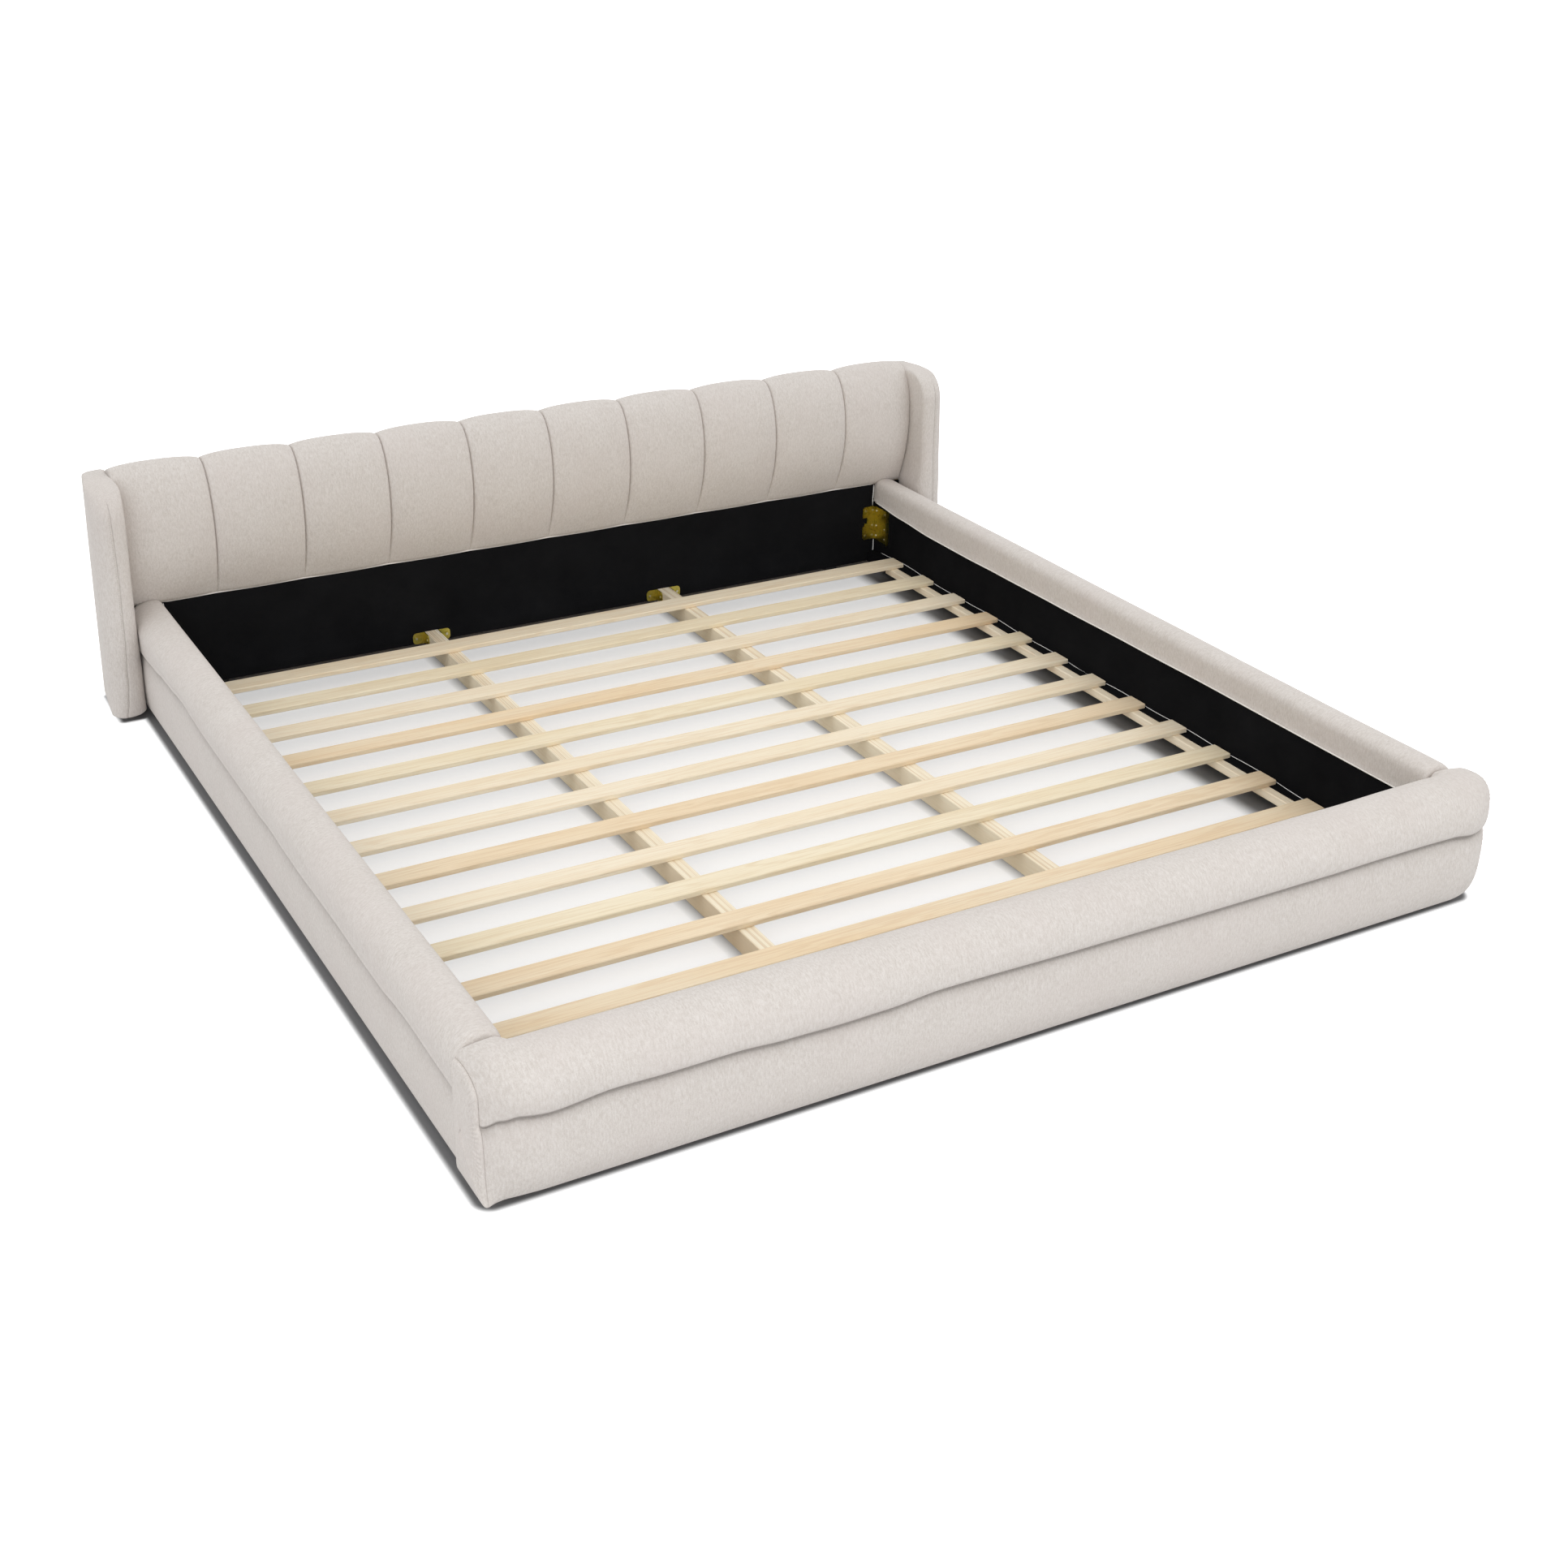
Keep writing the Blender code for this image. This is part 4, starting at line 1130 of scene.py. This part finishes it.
foot = {
    "round": 0.110,  # of the rolls' ends, in plan
    "overrun": 0.015,  # of that rounding beyond the end of the rolls
    # Depths in front of the board: along the middle, at the left and at the right end
    "nip": (0.0800, 0.0490, 0.0430),
    "overhang": 0.0145,
    "upperBulge": (0.1036, 0.0500, 0.0560),
    "upperBulgeHeight": 0.200,
    "lowerBulge": (0.1006, 0.0612, 0.0560),
    "lowerBulgeHeight": (0.084, 0.100),
    "hem": (0.0628, 0.0705, 0.0360),
    "hemPower": (2.5, 1),  # left and right, as are the next pairs
    "keepPower": (0.7, 1.6),
    "crestFat": (2.0, 2.4),
    "crest": (0.0320, -0.0040, 0.0100),
    "endCrown": (0.2320, 0.2550),
    "crownHold": 2.0,  # keeps the crown high until the rolls' ends
    "shoulder": (0.2070, 0.2400),  # along the middle, and where the side rails' rolls run into this one
    "shoulderRise": (0.9775, 0.016),
    "crownDrop": 0.0060,  # of the shoulder at least
    "waves": (0.0024, 0.0014),  # of the bulges and of the crown
    # painted shade on the lip's folded edge, and as the lip's shadow on the cloth below
    "edgeShade": (0.75, 0.0050, 0.0026),
    "lipShade": (0.50, 0.0085),
    "outside": footOuter - 0.02,
    "grooveTop": 0.0050,
    "toe": ((0.0025, 0), (0.0006, 0.0008), (0, 0.0026)),
    "groove": ((0.0040, -0.0020, -0.0040), (0.0020, -0.0004, -0.0010), (0.0004, 0.0042, 0)),
    "lipShape": ((0, 0.0050), (0.28, 0.0016), (0.58, -0.0002), (0.82, 0.0004), (0.95, 0.0026), (1, 0.0060)),
    "crownPlaces": ((0.70, 0.0), (0.86, 0.0045), (0.93, 0.0060), (1.0, 0.0040), (1.055, 0.0)),
    "lipPlaces": (
        (-1.056, 0.152), (-1.030, 0.169), (-1.005, 0.176), (-0.952, 0.173), (-0.846, 0.182), (-0.762, 0.180),
        (-0.640, 0.181), (-0.541, 0.1755), (-0.442, 0.1736), (-0.358, 0.175), (-0.248, 0.183),
        (0.05, 0.179), (0.346, 0.177),
        (0.613, 0.177), (0.743, 0.179), (0.849, 0.179), (0.923, 0.178), (0.999, 0.169), (1.055, 0.158),
    ),
    "stations": 160,
    "endStations": 22,
}


def footRecess(across):
    into = (abs(across) - footEnd - foot["overrun"] + foot["round"]) / foot["round"]
    return 1 - math.sqrt(max(0.0, 1 - max(0.0, into) ** 2))


def footPlaces():
    rounded = foot["round"] - foot["overrun"]
    straight = footEnd - rounded
    ends = foot["endStations"]
    places = [-straight - rounded * math.cos(math.pi / 2 * step / ends) for step in range(ends)]
    places += [mixed(-straight, straight, step / foot["stations"]) for step in range(foot["stations"] + 1)]
    places += [straight + rounded * math.sin(math.pi / 2 * step / ends) for step in range(1, ends + 1)]
    return places


def footShape(across):
    blend = footRecess(across) / footRecess(footEnd)
    held = blend ** foot["crownHold"]
    end = int(across > 0)
    keep = (1 - blend) ** foot["keepPower"][end]
    waves, crownWaves = foot["waves"]
    swell = softNoise(across, 2.0, 0.5, 0.21) * waves * keep
    crown = footCrown - hair + softNoise(across, 8.0, 0.5, 0.26) * crownWaves
    crown = mixed(crown + eased(foot["crownPlaces"], across), foot["endCrown"][end], held)
    start, reach = foot["shoulderRise"]
    corner = clamped((abs(across) - start) / reach)
    shoulder = mixed(*foot["shoulder"], corner * corner * (3 - 2 * corner))

    def depth(part, share):
        return footOuter - mixed(foot[part][0], foot[part][1 + end], share)

    return {
        "lip": eased(foot["lipPlaces"], across),
        "nip": depth("nip", blend),
        "out": foot["overhang"] * keep,
        "upper": depth("upperBulge", blend) + swell * 0.5,
        "lower": depth("lowerBulge", blend) - swell * 0.4,
        "lowerHeight": mixed(*foot["lowerBulgeHeight"], blend),
        "hem": depth("hem", blend ** foot["hemPower"][end]),
        "crest": depth("crest", held),
        "crown": crown,
        "shoulder": min(shoulder, crown - foot["crownDrop"]),
        "fat": mixed(foot["crestFat"][0], foot["crestFat"][end], blend),
    }


def footUpperSection(across):
    shape = footShape(across)
    nip, lip, out = shape["nip"], shape["lip"], shape["out"]
    crest, shoulder = (shape["crest"], shape["crown"]), (footInner, shape["shoulder"])
    outline = lipEdge(nip, -out, lip, foot["lipShape"])
    outline += quarterArc(outline[-1], (shape["upper"], foot["upperBulgeHeight"]), False, 7, 1.9)
    outline += quarterArc(outline[-1], crest, True, 16, shape["fat"])
    outline += quarterArc(crest, shoulder, False, 11)
    outline += straightRun(shoulder, (footInner, flapHeight), 4)
    wall, roof = footBoardInner + touchGap, footRoof + touchGap
    outline += [(wall, flapHeight), (wall, roof), (footOuter - touchGap, roof)]
    outline += [(footOuter - touchGap, lip + foot["grooveTop"])]
    return [(across, depth, height) for depth, height in outline]


def footLowerSection(across):
    shape = footShape(across)
    nip, lip, overhung = shape["nip"], shape["lip"], shape["out"] / foot["overhang"]
    inner = footOuter - touchGap
    groove = [(nip - outward, lip + rise + more * overhung) for outward, rise, more in foot["groove"]]
    outline = [(inner, groove[-1][1]), (inner, floorGap)]
    outline += [(shape["hem"] + inward, floorGap + rise) for inward, rise in foot["toe"]]
    outline += quarterArc(outline[-1], (shape["lower"], shape["lowerHeight"]), False, 10, 1.9)
    outline += quarterArc(outline[-1], groove[0], True, 12) + groove[1:]
    return [(across, depth, height) for depth, height in outline]


# Painted shade on the folded edge of the footboard's upper roll
def footEdgeShade(place):
    outer = place.y < foot["outside"]
    return paintedEdgeShade(place.z - eased(foot["lipPlaces"], place.x), foot) if outer else 0.0


# Painted shadow of the lip on the footboard's lower roll
def footLipShade(place):
    outer = place.y < foot["outside"]
    return paintedLipShade(place.z - eased(foot["lipPlaces"], place.x), foot) if outer else 0.0


endPanel = {
    "edge": 0.0022,
    "middle": (footOuter - 0.004, 0.125),
    "puff": 0.0155,
    "lowPuff": (0.0030, 0.14),  # more of it towards the floor, from this height down
    "shrink": 0.97,
    "lumps": (0.0010, 0.05),  # height and size
    "rings": 24,
    "points": 300,
    "gather": 0.0014,
    "gatherPitch": 0.0090,
    "gatherFade": 0.045,  # towards the floor
    "gatherPlace": 0.26,
    "gatherSpread": 0.24,
    "gatherWander": (2.2, 0.05),  # in turns of the wave, and size
    "gatherPower": (0.35, 1.6, 0.03),  # least, most above it, and size
    "riseEase": 0.8,
}


# Side view of the whole footboard at its end
def footEndOutline(across):
    upper = footUpperSection(across)
    lower = footLowerSection(across)
    outline = [(footInner, floorGap), ((footInner + footOuter) / 2, floorGap)]
    outline += [(point[1], point[2]) for point in lower[2:-2]]
    outline += [(point[1], point[2]) for point in upper[4:-4]]
    return evenLoop(outline, endPanel["points"])


def buildEndPanel(sideName, side):
    outline = footEndOutline(side * footEnd)
    middle = Vector(endPanel["middle"])
    edge, (lowPuff, lowReach), (lumps, lumpSize) = endPanel["edge"], endPanel["lowPuff"], endPanel["lumps"]
    wander, wanderSize = endPanel["gatherWander"]
    least, most, powerSize = endPanel["gatherPower"]
    start = footEnd + touchGap
    sections = [[(side * start, depth, height) for depth, height in outline]]
    perimeter = sum(math.dist(outline[index - 1], outline[index]) for index in range(len(outline)))
    for ring in range(endPanel["rings"] + 1):
        share = ring / endPanel["rings"]
        turn = math.pi / 2 * share
        shrink = 1 - (1 - math.cos(turn)) * endPanel["shrink"]
        fade = math.exp(-(((share - endPanel["gatherPlace"]) / endPanel["gatherSpread"]) ** 2))
        section = []
        for index, (depth, height) in enumerate(outline):
            spot = middle + (Vector((depth, height)) - middle) * shrink
            place = perimeter * index / len(outline)
            puff = endPanel["puff"] + lowPuff * max(0.0, 1 - height / lowReach)
            rise = edge + (puff - edge) * math.sin(turn) ** endPanel["riseEase"]
            drift = wander * softNoise(place, side, 1, wanderSize)
            pleat = math.sin(place / endPanel["gatherPitch"] * math.pi * 2 + drift)
            pleat *= least + abs(softNoise(place, side, 0, powerSize)) * most
            pleat *= clamped((height - floorGap) / endPanel["gatherFade"])
            lump = softNoise(depth, height, side, lumpSize) * lumps * math.sin(turn)
            section.append((side * (start + rise + endPanel["gather"] * pleat * fade + lump), spot.x, spot.y))
        sections.append(section)
    replaced = "footboard_end_panel_" + sideName
    finishPiece("footboard_end_cover_" + sideName, ringedTube(sections), fabricUpright, replaced)


def buildFootboard():
    parts = (("upper", footUpperSection, footEdgeShade), ("lower", footLowerSection, footLipShade))
    for part, section, shade in parts:
        cover = ringedTube([section(across) for across in footPlaces()])
        finishPiece(f"footboard_{part}_cover", cover, fabricAcross, f"footboard_{part}_roll", shade)
    for sideName, side in sides:
        buildEndPanel(sideName, side)


buildFootboard()
print("footboard made")


# Camera, lamps, floor

view = {
    "place": (-1.9262, -3.5296, 2.0112),
    "turn": 0.5192,  # to the right of the bed's length
    "tilt": 0.4612,  # down from the horizon
    "roll": 0.0159,
    "lens": 47.0235,
    "sensor": 36.0,
    "farEnd": 200.0,
}


def makeCamera():
    data = bpy.data.cameras.new("camera")
    data.lens = view["lens"]
    data.sensor_width = view["sensor"]
    data.clip_end = view["farEnd"]
    camera = linked("camera", data)
    facing = Matrix.Rotation(-view["turn"], 4, "Z") @ Matrix.Rotation(math.pi / 2 - view["tilt"], 4, "X")
    facing = facing @ Matrix.Rotation(view["roll"], 4, "Z")
    camera.matrix_world = Matrix.Translation(view["place"]) @ facing
    bpy.context.scene.camera = camera


studio = {
    "sky": 1.00,
    "keyLamp": (0.1, -3.4, 1.6, 2.0, 11.0),  # place, size, power
    "fillLamp": (-2.6, -2.6, 1.7, 1.6, 8.0),
    "aim": (0, 0, 0.1),
    "floorSize": 60.0,
    "floorColour": (0.69, 0.695, 0.705),
    # painted shadow: the floor's colour to the eye where the bed's shadow lies
    "shadowColour": (0.20, 0.20, 0.205),  # of the floor beside the bed, to the eye
    "floorGlow": 0.95,
    "shadowStart": 0.001,
    "shadowReach": 0.024,
    "shadowCorner": 0.022,
    "frameShadow": (-1.058, 1.046, -1.092, bedBack),  # left, right, front and back
    "wingShadow": (-1.114, 1.114, 0.985, bedBack),
    # painted shade in the bed's well: its floor keeps less of its white, fading near the sides
    "well": (-0.935, 0.935, -0.996, 1.064),
    "wellReach": 0.058,
    "wellWhite": 0.60,
    # painted shadow on the floor beside the beams: reach and darkest share
    "beamReach": 0.030,
    "beamShade": 0.25,
    # painted shadows of the slats on the floor: darkest share and offset
    "slatShadow": 0.76,
    "slatShadowPlace": 0.035,
}


def makeLamp(name):
    x, y, z, size, power = studio[name]
    data = bpy.data.lights.new(name, "AREA")
    data.size = size
    data.energy = power
    lamp = linked(name, data)
    lamp.location = (x, y, z)
    lamp.rotation_mode = "QUATERNION"
    lamp.rotation_quaternion = (Vector(studio["aim"]) - lamp.location).to_track_quat("-Z", "Y")


# One for the rays that show a surface to the eye, straight or by a mirror or glass
def seenRays(tree):
    path = added(tree, "LightPath", {}).outputs
    mirrored = joined(tree, "MAXIMUM", path["Is Glossy Ray"], path["Is Transmission Ray"])
    return joined(tree, "MAXIMUM", path["Is Camera Ray"], mirrored)


def makeWorld():
    world = bpy.data.worlds.new("studio")
    world.use_nodes = True
    tree = world.node_tree
    tree.nodes.clear()
    sky, seen = (
        added(tree, "Background", {"Color": (1, 1, 1, 1), "Strength": strength}).outputs["Background"]
        for strength in (studio["sky"], 1.0)
    )
    mix = added(tree, "MixShader", {"Fac": seenRays(tree), 1: sky, 2: seen})
    added(tree, "OutputWorld", {"Surface": mix.outputs["Shader"]})
    bpy.context.scene.world = world


def vectorMath(tree, operation, first, *second):
    sockets = {0: first, 1: (*second, 0)} if second else {0: first}
    return added(tree, "VectorMath", sockets, operation=operation).outputs


# Distance of a floor point beyond a box, each way; below zero inside it
def beyondBox(tree, left, right, front, back):
    places = added(tree, "TexCoord", {}).outputs["Object"]
    shifted = vectorMath(tree, "SUBTRACT", places, (left + right) / 2, (front + back) / 2)
    folded = vectorMath(tree, "ABSOLUTE", shifted["Vector"])
    return vectorMath(tree, "SUBTRACT", folded["Vector"], (right - left) / 2, (back - front) / 2)["Vector"]


# Distance of a floor point outside a box with rounded corners
def outsideDistance(tree, left, right, front, back, corner=0.0):
    beyond = beyondBox(tree, left + corner, right - corner, front + corner, back - corner)
    over = vectorMath(tree, "MAXIMUM", beyond, 0, 0)
    return joined(tree, "SUBTRACT", vectorMath(tree, "LENGTH", over["Vector"])["Value"], corner)


# Painted shadows of the slats: soft dark stripes across the floor, one behind each slat
def slatShadows(tree):
    pitch = (low("slat_01").y - low("slat_13").y) / 12
    start = (0, -high("slat_13").y - studio["slatShadowPlace"], 0)
    parts = added(tree, "SeparateXYZ", {"Vector": patternAt(tree, (1, 1, 1), start)})
    wave = joined(tree, "COSINE", joined(tree, "MULTIPLY", parts.outputs["Y"], 2 * math.pi / pitch))
    return spread(tree, wave, -1.0, 1.0, 1.0, studio["slatShadow"])


# The floor's own white fades out at the foot of the bed and in its well, so that the real shadows there stay
# dark; where it fades, the floor's colour to the eye also darkens to a painted shadow
def floorWhite(tree):
    bed = outsideDistance(tree, *studio["frameShadow"], studio["shadowCorner"])
    wings = outsideDistance(tree, *studio["wingShadow"])
    nearest = joined(tree, "MINIMUM", bed, wings)
    outer = spread(tree, nearest, studio["shadowStart"], studio["shadowReach"], easing="SMOOTHERSTEP")
    parts = added(tree, "SeparateXYZ", {"Vector": beyondBox(tree, *studio["well"])}).outputs
    inside = joined(tree, "MAXIMUM", parts["X"], parts["Y"])
    well = spread(tree, inside, 0.0, -studio["wellReach"], 0.0, studio["wellWhite"], "SMOOTHSTEP")
    well = joined(tree, "MULTIPLY", well, slatShadows(tree))
    # Painted shadow on the floor along each beam
    for beam in (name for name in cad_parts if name.startswith("centre_beam")):
        away = outsideDistance(tree, low(beam).x, high(beam).x, low(beam).y, high(beam).y)
        beside = spread(tree, away, 0.0, studio["beamReach"], studio["beamShade"], 1.0)
        well = joined(tree, "MULTIPLY", well, beside)
    return joined(tree, "MAXIMUM", outer, well)


def makeFloor():
    bm = bmesh.new()
    bmesh.ops.create_grid(bm, x_segments=1, y_segments=1, size=studio["floorSize"])
    mesh = bpy.data.meshes.new("floor")
    bm.to_mesh(mesh)
    bm.free()
    floor = linked("floor", mesh)
    material, tree, shader = newMaterial("paleFloor", 0.9, 0.0)
    seen = joined(tree, "MULTIPLY", seenRays(tree), floorWhite(tree))
    shaded = joined(tree, "SUBTRACT", seenRays(tree), seen)
    # Painted shadow: to the eye, the floor's colour darkens towards the shadow colour where its white fades
    feed(tree, shader, {
        "Base Color": mixColours(tree, shaded, studio["floorColour"], studio["shadowColour"]),
        "Emission Color": (1, 1, 1, 1),
        "Emission Strength": joined(tree, "MULTIPLY", seen, studio["floorGlow"]),
    })
    mesh.materials.append(material)


makeCamera()
makeLamp("keyLamp")
makeLamp("fillLamp")
makeWorld()
makeFloor()
bpy.context.scene.view_settings.view_transform = "Standard"
print("studio made")
